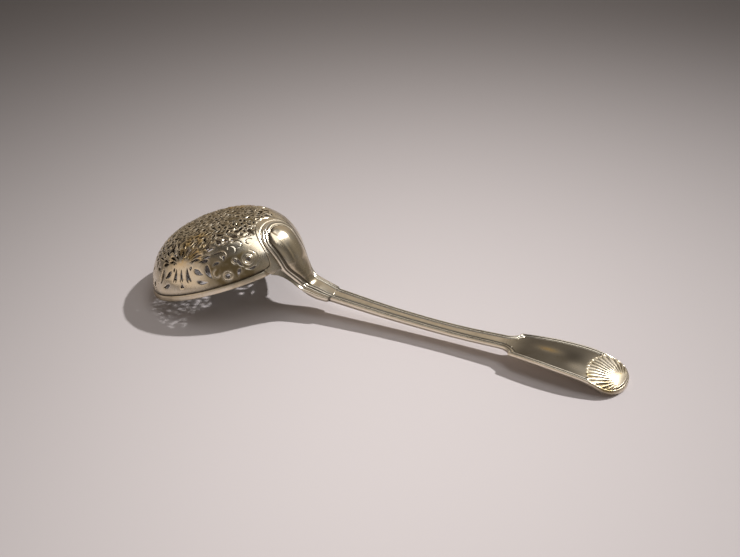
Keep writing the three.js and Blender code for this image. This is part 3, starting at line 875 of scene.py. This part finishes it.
def mouth_band(count=360):
    """The band round the mouth. Behind the heel it is tucked inside the bowl's sheet."""
    azimuth = np.arange(count) / count * 2 * math.pi
    tuck = 1 - smoothstep(SKIN_FULL, SKIN_END, np.abs(azimuth - math.pi))
    rings = []
    for inset, height in BAND_PROFILE:
        tucked = max(inset, SHEET + 0.06)
        rings.append(bowl_at(azimuth, height, inset + (tucked - inset) * tuck))
    points = np.stack(rings, 1).reshape(-1, 3)
    sides = len(BAND_PROFILE)
    faces = skinned(count, sides, True)[:, [0, 3, 2, 1]]
    piece = new_mesh("band_mouth", bowl_to_spoon(points), faces)
    turn = np.degrees(from_tip(azimuth))
    dull = 0.1 + 0.45 * (1 - smoothstep(70, 98, turn)) + 0.4 * smoothstep(112, 130, turn)
    plain = np.zeros(len(points))
    add_layers(piece, recess=plain, tarnish=np.repeat(dull, sides), gilt=plain + 0.25)
    return piece


# Handle. Runs and lengths are along it, halves are half widths.
# Shank: its length, the pull and slope of its curve, where its round back ends, its thickness
SHANK_RUN = 17.2
SHANK_PULL = 12.0
SHANK_SLOPE = 0.1
SHANK_ROUND_RUN = 6.9
SHANK_THICKNESS = 2.3
# Shoulders and stem
SHOULDER_LEAD = 6.7
SHOULDER_HEIGHT = 7.5
STEM_HALF = 4.45
STEM_WAIST = 3.85
STEM_THICKNESS = 2.1
# Fiddle end: its flare, its notch, its shoulders, and the swell up to its widest place
FIDDLE_LENGTH = 47.0
FIDDLE_FLARE = 5.0
NOTCH_HALF = 6.7
FIDDLE_SHOULDER = 8.1
FIDDLE_HALF = 11.3
FIDDLE_SWELL = 30.8
FIDDLE_THICKNESS = 1.6
# Rounded end, and how far before its tip the stem's spline reaches the table
END_ROUND = 9.5
END_FLAT = 0.3
END_SQUARENESS = 2.05
END_THICKNESS = 2.2
REST_LENGTH = 3.7
# Length of the parabola in which the end comes down on the table
LANDING = 7.4
# Edge at the bowl, run of the closest rings beyond it, rise of the reserve, width of the border
TONGUE_EDGE = 0.9
CLOSE_RUN = 5.2
RESERVE_CROWN = 0.15
BORDER = 2.3
# Half widths of the shank by run from the bowl: outer side of the threads, and the flange outside them
THREAD_HALF = (
    (0, 9.6), (1.5, 9.2), (2.9, 8.6), (5.5, 7.3), (8.1, 6.1), (9.9, 5.55), (12.4, 5.2), (15.9, 5.1),
    (19.4, 5.0), (23.3, 4.7), (25, 4.45),
)
FLANGE_HALF = (
    (0, 14.6), (0.5, 13.9), (1.6, 12.25), (3.2, 10.75), (5.1, 9.5), (7.0, 8.45), (9.0, 7.65),
    (10.9, 7.15), (12.7, 6.85), (16.5, 6.5), (19.3, 6.4), (22.5, 5.85), (25, 5.4),
)
FLANGE_END = 24.2
# Painted shade in the notch just beyond the flange's end, where its end face lies in shadow
SHADED_NOTCH_RUN = FLANGE_END + 0.45
SHADED_NOTCH_REACH = 0.45
FLARE_HEIGHT = 2.0
# Rise of the border's ground per millimetre inwards, on the shank
SHANK_ROOF = 0.4
# Lift that eases the bend between the tongue and the shank
FOOT_SWELL = 0.1
# Tongue: height of its edge, and of its middle above that
TONGUE_TOP = 0.1
TONGUE_CROWN = 1.75
# Shell: X of its start and its hinge, reach of its flutes and angle between them
SHELL_START = 193.4
SHELL_HINGE = 208.0
SHELL_REACH = 14.8
SHELL_STEP = math.radians(9.6)

HEEL_FOOT = bowl_to_spoon(bowl_at(math.pi, 0.0) + np.array([SEAM, 0, 0]))
SHOULDER_X = HEEL_FOOT[0] + SHANK_RUN
NOTCH_X = SPOON_LENGTH - FIDDLE_LENGTH
REST_X = SPOON_LENGTH - REST_LENGTH
STEM_POINTS = (
    (SHOULDER_X, SHOULDER_HEIGHT), (SHOULDER_X + 25.9, 5.57), (NOTCH_X - 25.9, 4.85), (NOTCH_X, 5.7),
    (NOTCH_X + 16.9, 5.8), (NOTCH_X + 34.3, 4.06), (REST_X, 0.0),
)


def shank_curve(count=200):
    """The shank's underside: a cubic curve from the heel's foot to the shoulders."""
    wall_down = bowl_to_spoon(np.array([0.0, 0.0, -1.0]))[[0, 2]]
    a, d = HEEL_FOOT[[0, 2]], np.array([SHOULDER_X, SHOULDER_HEIGHT])
    b, c = a + wall_down * SHANK_PULL, d + np.array([-1, SHANK_SLOPE]) * SHANK_PULL
    t = np.linspace(0, 1, count)[:, None]
    return (1 - t) ** 3 * a + 3 * (1 - t) ** 2 * t * b + 3 * (1 - t) * t ** 2 * c + t ** 3 * d


def spline_through(points, count=80):
    """A centripetal spline through points."""
    p = np.array(points, float)
    p = np.concatenate([[2 * p[0] - p[1]], p, [2 * p[-1] - p[-2]]])
    t = np.linspace(0, 1, count, endpoint=False)[:, None]
    parts = []
    for a, b, c, d in zip(p, p[1:], p[2:], p[3:]):
        k0, k1, k2 = (math.sqrt(np.linalg.norm(n - m)) for m, n in ((a, b), (b, c), (c, d)))
        m1 = ((b - a) / k0 - (c - a) / (k0 + k1) + (c - b) / k1) * k1
        m2 = ((c - b) / k1 - (d - b) / (k1 + k2) + (d - c) / k2) * k1
        square, cube = 3 * (c - b) - 2 * m1 - m2, 2 * (b - c) + m1 + m2
        parts.append(b + m1 * t + square * t ** 2 + cube * t ** 3)
    parts.append(p[-2:-1])
    return np.concatenate(parts)


def stem_side():
    """The stem's underside, which comes down on the table in a parabola at its end."""
    line = spline_through(STEM_POINTS)
    line = line[line[:, 0] < SPOON_LENGTH - LANDING]
    start = line[-1]
    x = np.linspace(start[0], SPOON_LENGTH, 40)[1:]
    left = (SPOON_LENGTH - x) / (SPOON_LENGTH - start[0])
    return np.concatenate([line, np.stack([x, start[1] * left ** 2], 1)])


SHANK_SIDE = shank_curve()
STEM_SIDE = stem_side()


def read_side(side, x):
    slope = np.gradient(side, axis=0)
    slope /= np.linalg.norm(slope, axis=1)[:, None]
    z, tx, tz = (np.interp(x, side[:, 0], column) for column in (side[:, 1], slope[:, 0], slope[:, 1]))
    return z, np.array([-tz, tx])


def underside(x):
    """Height of the underside and its upward normal in X and Z."""
    return read_side(SHANK_SIDE if x < SHOULDER_X else STEM_SIDE, x)


def half_width_at(x):
    """Half width of the stem and the fiddle end."""
    flare = NOTCH_X - FIDDLE_FLARE
    if x < flare:
        sweep = (x - SHOULDER_X) / (flare - SHOULDER_X)
        return STEM_HALF - (STEM_HALF - STEM_WAIST) * math.sin(sweep * math.pi)
    if x < NOTCH_X:
        return STEM_HALF + (NOTCH_HALF - STEM_HALF) * ((x - flare) / FIDDLE_FLARE) ** 2
    swell = min((x - NOTCH_X) / FIDDLE_SWELL, 1)
    side = FIDDLE_SHOULDER + (FIDDLE_HALF - FIDDLE_SHOULDER) * math.sin(swell * math.pi / 2)
    turn = min(max(x - (SPOON_LENGTH - END_ROUND), 0) / END_ROUND, 1)
    return END_FLAT + (side - END_FLAT) * (1 - turn ** END_SQUARENESS) ** (1 / END_SQUARENESS)


def edge_thickness_at(x):
    if x < SHOULDER_X:
        thick = smoothstep(HEEL_FOOT[0], SHOULDER_X - SHOULDER_LEAD, x)
        return TONGUE_EDGE + (SHANK_THICKNESS - TONGUE_EDGE) * thick
    thin = smoothstep(SHOULDER_X, NOTCH_X + FIDDLE_FLARE, x)
    end = smoothstep(SPOON_LENGTH - 12, SPOON_LENGTH - 5, x)
    fiddle = FIDDLE_THICKNESS + (END_THICKNESS - FIDDLE_THICKNESS) * end
    return STEM_THICKNESS + (fiddle - STEM_THICKNESS) * thin


def tongue_half_width(height):
    above = np.clip(height - TONGUE_SHOULDER, 0, None) / (TONGUE_RISE - TONGUE_SHOULDER)
    below = np.clip(1 - height / TONGUE_SHOULDER, 0, 1)
    flank = TONGUE_HALF - (TONGUE_HALF - TONGUE_FOOT_HALF) * below ** 2
    return flank * np.sqrt(np.clip(1 - above ** 2, 0, 1))


def read_table(table, run):
    """A value from a short table, with its corners rounded."""
    line = smooth_line(np.array(table, float), 0.25)
    return float(np.interp(run, line[:, 0], line[:, 1]))


def thread_half_at(x, run):
    """Half width to the outer side of the threads; on the shank a flange lies outside them."""
    return half_width_at(x) if x > SHOULDER_X else read_table(THREAD_HALF, run)


def outer_half_at(x, run):
    """Half width of the whole section, with the flange that ends at the shoulders."""
    threads = thread_half_at(x, run)
    if run > FLANGE_END:
        return threads
    near_end = min(1.0, (FLANGE_END - run) / 0.9)
    corner = 0.35 + 0.65 * math.sqrt(1 - (1 - near_end) ** 2)
    return threads + (read_table(FLANGE_HALF, run) - threads) * corner


def flare_at(height):
    """Width of the thin wing beside the tongue, which runs out just above the mouth."""
    left = min(1.0, max(0.0, 1 - height / FLARE_HEIGHT))
    return (FLANGE_HALF[0][1] - TONGUE_FOOT_HALF) * (1 - math.sqrt(1 - left ** 2))


# How far the ground beside the threads lies below the border's ground
BORDER_DIP = 0.14


def bead(depth, start, width, height):
    """A half-round thread between two distances from the edge."""
    t = (depth - start) / width * 2 - 1
    return height * np.clip(1 - t * t, 0, 1)


def threads(depth, first):
    """Height of the double thread by distance from its outer side; first scales the outer thread."""
    return bead(depth, -0.02, 1.02, 0.34 * first) + bead(depth, 1.08, 1.0, 0.3) - BORDER_DIP


# A ring round the handle. Its place is a height above the mouth on the bowl and X elsewhere, run
# counts along the handle from the mouth, less than 0 on the bowl, and inner leaves out the flange.
Ring = namedtuple("Ring", "run place half inner on_bowl")

# Where along X each spacing of the rings starts, and the spacing
SPACING = (
    (HEEL_FOOT[0], 0.07), (HEEL_FOOT[0] + CLOSE_RUN, 0.2), (SHOULDER_X - 2.2, 0.1),
    (SHOULDER_X + 1, 0.6), (NOTCH_X - 6, 0.16), (NOTCH_X + 4, 0.4), (SHELL_START - 2, 0.14),
    (SPOON_LENGTH - 1.2, 0.06), (SPOON_LENGTH, 0.06),
)


def spaced(start, end, step):
    return np.linspace(start, end, max(2, int(round(abs(end - start) / step))), endpoint=False)


def handle_rings():
    heel = bowl_at(math.pi, np.linspace(0, TONGUE_RISE, 400))
    arc = length_along(heel)
    near_top = arc[-1] - np.linspace(0.03, 1, 24) ** 2 * 2.2
    rings = []
    for run in np.concatenate([near_top, spaced(near_top[-1] - 0.12, 0, 0.13)]):
        height = np.interp(run, arc, heel[:, 2])
        half = float(tongue_half_width(height))
        rings.append(Ring(-run, height, half + flare_at(height), half, True))
    side = np.concatenate([SHANK_SIDE, STEM_SIDE[1:]])
    length = length_along(side)
    spans = [spaced(start, end, step) for (start, step), (end, _) in zip(SPACING, SPACING[1:])]
    for x in [*np.concatenate(spans), SPOON_LENGTH]:
        run = float(np.interp(x, side[:, 0], length))
        rings.append(Ring(run, x, outer_half_at(x, run), thread_half_at(x, run), False))
    return rings


# Points across half of a ring's top, and the widest that its edge may be
FLANGE_COLUMNS = 10
BORDER_COLUMNS = 32
RESERVE_COLUMNS = 48
EDGE_WIDTH = 0.25


def columns(half, inner):
    """Places across the top: the flange or edge, the border and half of the reserve, on both sides."""
    edge = min(inner, half - min(EDGE_WIDTH, 0.2 * half))
    border = max(inner - BORDER - 0.4, 0.25 * edge)
    right = np.concatenate([
        np.linspace(half, edge, FLANGE_COLUMNS, endpoint=False),
        np.linspace(edge, border, BORDER_COLUMNS, endpoint=False),
        np.linspace(border, 0, RESERVE_COLUMNS),
    ])
    return np.concatenate([right, -right[-2::-1]])


def boss_at(ring):
    """Rise of the reserve's middle above the border's ground."""
    if ring.on_bowl:
        above = max(0.0, ring.place - TONGUE_SHOULDER) / (TONGUE_RISE - TONGUE_SHOULDER)
        return TONGUE_CROWN * math.sqrt(max(0.0, 1 - above ** 2)) + RESERVE_CROWN
    fall = smoothstep(HEEL_FOOT[0], HEEL_FOOT[0] + SHANK_ROUND_RUN + 1, ring.place)
    return TONGUE_CROWN * (1 - fall) + RESERVE_CROWN


def top_edge_at(ring):
    """Height of the border's ground above the underside."""
    if ring.on_bowl:
        return TONGUE_TOP
    full = smoothstep(HEEL_FOOT[0], HEEL_FOOT[0] + 8, ring.place)
    return TONGUE_TOP + (edge_thickness_at(ring.place) - TONGUE_TOP) * full


def shell(x, y):
    """The shell on the end: its lift, the dark of its valleys and a painted shadow along its edge, and
    where it is. Its flutes spread from a hinge.
    """
    away, angle = np.hypot(SHELL_HINGE - x, y), np.arctan2(y, SHELL_HINGE - x)
    lobe = np.abs(np.cos(angle / SHELL_STEP * math.pi))
    edge = SHELL_REACH + 1.0 * (angle / math.radians(50)) ** 2 - 0.9 * (1 - lobe) ** 1.5
    begun = smoothstep(0, 0.6, edge - away) * (np.abs(angle) < math.radians(100))
    begun = np.where(x > SHELL_HINGE - 2, 1.0, begun)
    fluted = smoothstep(3.5, 8.5, away) * (x < SHELL_HINGE - 1)
    swell = 0.25 + 0.75 * (1 - np.clip(away / SHELL_REACH, 0, 1) ** 1.5)
    lift = begun * (swell - 0.5 * (1 - lobe) ** 1.1 * fluted)
    # Painted shadow just outside the shell's edge, on the side towards the stem
    rim = bell(away, edge + 0.12, 0.3) * (np.abs(angle) < math.radians(75))
    return lift, np.clip(begun * fluted * (1 - lobe) ** 2.2 + 0.8 * rim, 0, 1), begun


# Lifts count from a seam's width outside the bowl: underside of the handle, and flange at the mouth
UNDER_LIFT = 0.06 - SEAM
FLANGE_LIFT = 0.1 - SEAM


def section(ring, depth, y):
    """Lift and dark across the top of a ring."""
    run, edge = ring.run, top_edge_at(ring)
    # On the tongue the threads step in at a small shoulder at the top of the near side
    beyond = smoothstep(-4.4, -3.2, y) * smoothstep(2.0, -6.0, run)
    depth = np.where(depth > 0, depth / (1 + 0.42 * beyond), depth)
    roof = SHANK_ROOF * plateau(0, 8, 17, 27, run) * np.clip(depth, 0, BORDER)
    foot = FOOT_SWELL * plateau(-1.8, 1.8, 4, 14, run)
    ground = edge + roof + foot
    inward = np.clip((depth - BORDER) / max(ring.inner - BORDER, 0.5), 0, 1)
    shape = np.sqrt(1 - (1 - inward) ** 2.4)
    reserve = ground - BORDER_DIP + (boss_at(ring) + BORDER_DIP) * shape
    lift = np.where(depth > BORDER, reserve, ground + threads(depth, 1 - 0.8 * beyond))
    level = FLANGE_LIFT + (edge - 0.12 - FLANGE_LIFT) * smoothstep(0, 12, run)
    flange = level - 0.3 * smoothstep(0.55, 0.05, -depth) * smoothstep(2, 8, run)
    on_flange = depth < -0.02
    rounding = np.where(on_flange, 0.5 * smoothstep(4, 10, run), 0.2)
    lift = np.where(on_flange, flange, lift)
    lift -= rounding * np.clip(1 - (ring.half - np.abs(y)) / 0.35, 0, 1) ** 2
    dark = bell(depth, BORDER + 0.12, 0.34) + 0.95 * bell(depth, 1.04, 0.24)
    # Painted shade in the notch beyond the flange's end
    dark += bell(run, SHADED_NOTCH_RUN, SHADED_NOTCH_REACH) * (depth < 0.7)
    # Tarnish and painted edge shadow on the flange, just outside the threads
    dark += bell(depth, -0.2, 0.25) * (depth < 0)
    if ring.place > SHELL_START - 2:
        add, valleys, begun = shell(ring.place, y)
        within = smoothstep(0.4, 1.2, depth)
        lift = lift * (1 - begun * within) + (edge + add) * begun * within
        dark = dark * (1 - begun * within) + valleys * within
    return np.maximum(lift, bottom_at(ring) + 0.04), np.clip(dark, 0, 1)


def bottom_at(ring):
    """Lift of the underside: on the bowl it lies on the skin, then it swells inwards below the mouth."""
    if ring.on_bowl:
        return UNDER_LIFT
    return UNDER_LIFT * (1 - smoothstep(0, 7, ring.run)) - 0.6 * plateau(0.1, 0.8, 0.8, 7, ring.run)


# Share of the chamfer at each point across the underside
CHAMFER = np.array([1, 0.3, 0.0, 0.0, 0.0, 0.0, 0.0, 0.3, 1])


def bottom_places(half):
    """Places across the underside."""
    if half <= 2:
        return np.linspace(-half, half, len(CHAMFER))
    left = np.array([-half, 0.3 - half, 0.9 - half, -half / 2])
    return np.concatenate([left, [0], -left[::-1]])


def handle():
    rings = handle_rings()
    side = np.array([(ring.run, ring.inner) for ring in rings])
    outline = resampled(np.concatenate([side, side[::-1] * [1, -1]]), 0.1, True)
    across = [columns(ring.half, ring.inner) for ring in rings]
    run, inner = (np.repeat(column, len(across[0])) for column in side.T)
    y = np.concatenate(across)
    away = distance_to(outline, np.stack([run, y], 1))
    depths = np.where(np.abs(y) > inner, -away, away).reshape(len(rings), -1)
    points, recess, tarnish, gilt = [], [], [], []
    for ring, y, depth in zip(rings, across, depths):
        lift, dark = section(ring, depth, y)
        chamfer = 0 if ring.on_bowl else min(0.3, top_edge_at(ring) / 4)
        bottom = bottom_at(ring) + chamfer * CHAMFER
        places = np.concatenate([y, bottom_places(ring.half)])
        points.append(ring_points(ring, places, np.concatenate([lift, bottom])))
        dull, gold, grime = handle_wear(ring, depth, y)
        # Painted shade of the same notch, on the underside
        notch = CHAMFER * bell(ring.run, SHADED_NOTCH_RUN, SHADED_NOTCH_REACH)
        recess.append(np.concatenate([np.maximum(dark, grime), notch]))
        tarnish.append(np.concatenate([dull, 0 * CHAMFER + 0.05]))
        gilt.append(np.concatenate([gold, 0 * CHAMFER]))
    count = len(points[0])
    ends = [list(range(count))[::-1], list(range(len(points) * count - count, len(points) * count))]
    faces = skinned(len(points), count, False).tolist() + ends
    piece = new_mesh("handle_struck", np.concatenate(points), faces, 80)
    recess, tarnish, gilt = (np.concatenate(layer) for layer in (recess, tarnish, gilt))
    add_layers(piece, recess=recess, tarnish=tarnish, gilt=gilt)
    return piece


def handle_wear(ring, depth, y):
    """Tarnish, old gilding and grime across a ring's top. Threads and shell are rubbed bright."""
    run, place = ring.run, ring.place
    reserve = smoothstep(BORDER - 0.4, BORDER + 0.3, depth)
    shank = plateau(-2, 5, 12, 22, run)
    fiddle = smoothstep(NOTCH_X - 8, NOTCH_X + 6, place)
    stem = smoothstep(24, 32, run) * (1 - fiddle)
    level = 0.2 + 0.15 * shank - 0.12 * stem + 0.2 * fiddle
    patch = bell(place, 177, 4.5) * bell(y, 1, 1.8)
    beige = bell(place, 190.5, 3.0) * bell(y, -5, 2.2)
    dull = 0.1 + reserve * (level - 0.3 * beige - 0.3 * patch)
    darkest = bell(place, 187, 5.0) * bell(y, 1, 5.0)
    grime = (0.87 + 0.12 * darkest) * fiddle * reserve * (1 - 0.5 * patch) * (1 - 0.5 * beige)
    grime = np.maximum(grime, 0.75 * bell(place, NOTCH_X + 3, 6.0) * smoothstep(3, 6, y))
    if place > SHELL_START - 2:
        begun = shell(place, y)[2]
        dull = dull * (1 - begun) + (0.62 + 0.2 * smoothstep(-2, -7, y)) * begun
        grime = grime * (1 - begun)
    gold = 0.25 * (1 - smoothstep(12, 22, run)) * reserve + 0.9 * patch
    return np.clip(dull, 0, 1), gold, grime


def heel_drop(y):
    """How far the bowl's outline at the mouth falls back behind its heel."""
    line = bowl_at(np.linspace(math.pi / 2, math.pi, 500), 0.0)
    return BOWL_LENGTH - np.interp(-np.abs(y), -line[:, 1], line[:, 0])


def off_heel(y, height, out):
    """Points at a height of the heel, sideways places and distances outside the bowl."""
    a = azimuth_beside_heel(y, height, 500)
    a = np.where(y < 0, -a, a)
    at = bowl_at(a, height)
    step = 0.01
    top = min(height, BOWL_DEPTH - step)
    along = bowl_at(a + step, height) - bowl_at(a - step, height)
    up = bowl_at(a, top + step / 2) - bowl_at(a, max(top - step / 2, 0))
    return bowl_to_spoon(at + outward(along, up, at) * out[:, None])


def ring_points(ring, y, lift):
    off_skin = lift + SEAM
    if ring.on_bowl:
        return off_heel(y, ring.place, off_skin)
    z, normal = underside(ring.place)
    roundness = 1 - smoothstep(HEEL_FOOT[0], HEEL_FOOT[0] + SHANK_ROUND_RUN, ring.place)
    lean = roundness * np.arctan2(heel_drop(y + 0.01) - heel_drop(y - 0.01), 0.02)
    rise = off_skin * np.cos(lean) - SEAM - roundness * heel_drop(y)
    x = ring.place + normal[0] * rise
    return np.stack([x, y + off_skin * np.sin(lean), z + normal[1] * rise], 1)


# Materials
class Nodes:
    """The nodes of a material or a world."""

    def __init__(self, owner):
        owner.use_nodes = True
        self.tree = owner.node_tree
        self.new = self.tree.nodes.new

    def feed(self, node, inputs):
        """Sets inputs of a node, or links them where the value is an output."""
        for key, value in inputs.items():
            if isinstance(value, bpy.types.NodeSocket):
                self.tree.links.new(value, node.inputs[key])
            else:
                node.inputs[key].default_value = value
        return node

    def math(self, operation, first, second, clamp=False):
        node = self.new("ShaderNodeMath")
        node.operation = operation
        node.use_clamp = clamp
        return self.feed(node, {0: first, 1: second}).outputs[0]

    def times(self, first, second, clamp=False):
        return self.math("MULTIPLY", first, second, clamp)

    def mixed(self, share, *colours):
        """A mix of two colours."""
        node = self.new("ShaderNodeMix")
        node.data_type = "RGBA"
        first, second = ((*c, 1) if isinstance(c, tuple) else c for c in colours)
        return self.feed(node, {0: share, 6: first, 7: second}).outputs[2]

    def ramp(self, source, low, high):
        node = self.new("ShaderNodeMapRange")
        node.interpolation_type = "SMOOTHSTEP"
        return self.feed(node, {0: source, 1: low, 2: high}).outputs[0]

    def noise(self, place, scale, detail, low, high):
        texture = self.new("ShaderNodeTexNoise")
        self.feed(texture, {"Vector": place, "Scale": scale, "Detail": detail})
        return self.ramp(texture.outputs["Fac"], low, high)

    def layer(self, name):
        node = self.new("ShaderNodeAttribute")
        node.attribute_name = name
        return node.outputs["Fac"]

    def coordinates(self, kind):
        return self.new("ShaderNodeTexCoord").outputs[kind]


def shaded(name, inputs_of):
    """A material whose principled shader has the inputs that a function makes from its nodes."""
    material = bpy.data.materials.new(name)
    nodes = Nodes(material)
    nodes.tree.nodes.clear()
    shader = nodes.feed(nodes.new("ShaderNodeBsdfPrincipled"), inputs_of(nodes))
    nodes.feed(nodes.new("ShaderNodeOutputMaterial"), {0: shader.outputs[0]})
    return material


SILVER = (0.87, 0.79, 0.66)
GILDING = (0.90, 0.62, 0.24)
TARNISH = (0.25, 0.19, 0.10)
# Near-black of the recess layer: grime in the hollows, and painted shade
GRIME_AND_SHADE = (0.025, 0.018, 0.012)


def silver(name, tarnish, gold, rough, dents):
    """Old silver: tarnished in its hollows and in patches, with gilding left in places. Its recess layer
    darkens it towards one near-black colour, for grime and for painted shade.
    """
    def inputs(n):
        place = n.coordinates("Object")
        patches = n.noise(place, 150.0, 6.0, 0.3, 0.7)
        specks = n.noise(place, 900.0, 5.0, 0.5, 0.8)
        worn = n.noise(place, 260.0, 4.0, 0.3, 0.6)
        spread = n.math("ADD", n.times(patches, 0.7), 0.65)
        specked = n.times(n.times(patches, specks), tarnish)
        dull = n.math("ADD", n.times(n.layer("tarnish"), spread), specked, True)
        bare = n.mixed(n.times(n.times(n.layer("gilt"), worn), gold, True), SILVER, GILDING)
        dark = n.times(n.layer("recess"), 0.93, True)
        roughness = n.math("ADD", n.times(dull, 0.24), rough)
        bump = n.feed(n.new("ShaderNodeBump"), {
            "Strength": dents, "Distance": 0.0001, "Height": n.noise(place, 500.0, 5.0, 0.2, 0.8)})
        return {
            "Metallic": 1.0,
            "Base Color": n.mixed(dark, n.mixed(dull, bare, TARNISH), GRIME_AND_SHADE),
            "Roughness": n.math("ADD", roughness, n.times(dark, 0.1), True),
            "Normal": bump.outputs["Normal"],
        }
    return shaded(name, inputs)


# Photographer's table, light and camera
# The paper's tone, and its painted pool of light: its middle, its turn and its two reaches, and how far
# the painted falloff darkens it
PAPER = (0.60, 0.548, 0.545)
POOL_MIDDLE = (-0.002, -0.021, 0)
POOL_TURN = 0.366
POOL_REACH = (0.24, 0.456, 1)
PAINTED_POOL_FALLOFF = 0.94


def paper():
    """Pale paper with a painted pool of light: its colour darkens away from the spoon."""
    def inputs(n):
        mapping = n.new("ShaderNodeMapping")
        mapping.vector_type = "TEXTURE"
        n.feed(mapping, {
            "Vector": n.coordinates("Object"), "Location": POOL_MIDDLE,
            "Rotation": (0, 0, POOL_TURN), "Scale": POOL_REACH})
        squared = n.new("ShaderNodeVectorMath")
        squared.operation = "DOT_PRODUCT"
        away = n.feed(squared, {0: mapping.outputs[0], 1: mapping.outputs[0]}).outputs["Value"]
        share = n.math("DIVIDE", away, n.math("ADD", away, 1.0))
        # Painted falloff of the light: far off, the paper's colour nears a dark copy of its tone
        dim = tuple((1 - PAINTED_POOL_FALLOFF) * c for c in PAPER)
        return {"Base Color": n.mixed(share, PAPER, dim), "Roughness": 0.9, "Specular IOR Level": 0.15}
    return shaded("paper", inputs)


def floor(size=3.0):
    mesh = bpy.data.meshes.new("floor")
    corners = [(-size, -size, 0), (size, -size, 0), (size, size, 0), (-size, size, 0)]
    mesh.from_pydata(corners, [], [(0, 1, 2, 3)])
    mesh.materials.append(paper())
    piece = add_object("floor", mesh)


# The key lamp, a small spot far behind the spoon on its far side
KEY_PLACE = Vector((566.7, 1058.7, 1328.7)) * MM
KEY_TARGET = Vector((246.0, -1089.0, 0.0)) * MM
KEY_POWER = 188.0
KEY_CONE = math.radians(72.5)
KEY_SIZE = 0.03

# A long soft light above the spoon, turned along the bowl's bright band
SOFTBOX_PLACE = (0.2, 0.11, 0.9)
SOFTBOX_SIZE = (1.1, 0.43)
SOFTBOX_TURN = math.radians(-27)
SOFTBOX_POWER = 2.6

CAMERA_PLACE = Vector((213.18, -448.0, 308.24)) * MM
CAMERA_TARGET = Vector((-21.7, 32.39, 0)) * MM
CAMERA_LENS = 67.82


def aim(piece, target):
    """Turns a lamp or the camera towards a point."""
    piece.rotation_euler = (target - piece.location).to_track_quat("-Z", "Y").to_euler()


def lights():
    key = bpy.data.lights.new("key", "SPOT")
    key.energy = KEY_POWER
    key.spot_size = KEY_CONE
    key.spot_blend = 1.0
    key.shadow_soft_size = KEY_SIZE
    aim(add_object("key", key, KEY_PLACE), KEY_TARGET)
    soft = bpy.data.lights.new("softbox", "AREA")
    soft.shape = "RECTANGLE"
    soft.size, soft.size_y = SOFTBOX_SIZE
    soft.energy = SOFTBOX_POWER
    add_object("softbox", soft, SOFTBOX_PLACE).rotation_euler = (0, 0, SOFTBOX_TURN)
    bpy.context.scene.world = room()


# Colours of the room: overhead, beyond the table on its left and right, and in front on both sides
OVERHEAD = (0.06, 0.056, 0.052)
BEYOND = ((0.46, 0.40, 0.325), (0.22, 0.2, 0.17))
FRONT = ((0.62, 0.53, 0.45), (0.27, 0.25, 0.225))


def room():
    """A dim studio: lighter in front, most of all on the left, and beyond the table; dark overhead."""
    world = bpy.data.worlds.new("room")
    n = Nodes(world)
    x, y, z = n.feed(n.new("ShaderNodeSeparateXYZ"), {0: n.coordinates("Generated")}).outputs
    beyond = n.times(n.ramp(y, 0.1, 0.6), n.ramp(z, 0.92, 0.6))
    front = n.times(n.ramp(y, 0.3, -0.5), n.ramp(z, 0.98, 0.35))
    rest = n.mixed(beyond, OVERHEAD, n.mixed(n.ramp(x, -0.25, 0.25), *BEYOND))
    colour = n.mixed(front, rest, n.mixed(n.ramp(x, -0.4, 0.4), *FRONT))
    n.feed(n.tree.nodes["Background"], {0: colour})
    return world


def camera():
    view = bpy.data.cameras.new("camera")
    view.lens = CAMERA_LENS
    view.sensor_width = 36
    view.clip_start = 0.01
    taker = add_object("camera", view, CAMERA_PLACE)
    aim(taker, CAMERA_TARGET)
    bpy.context.scene.camera = taker


bowl = pierced_bowl(whole_pattern())
band = mouth_band()
grip = handle()
# Each finish: specks of tarnish, share of the gilding, roughness and dents
for piece, node, slot, finish in (
    (bowl, "pierced_bowl", "silver_bowl", (0.5, 0.9, 0.17, 0.12)),
    (band, "mouth_band", "silver_band", (0.3, 0.6, 0.26, 0.1)),
    (grip, "handle", "silver_handle", (0.4, 0.9, 0.15, 0.04)),
):
    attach(piece, "root")
    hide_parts(node)
    piece.data.materials.append(silver(slot, *finish))

floor()
lights()
camera()
bpy.context.scene.view_settings.view_transform = "Standard"
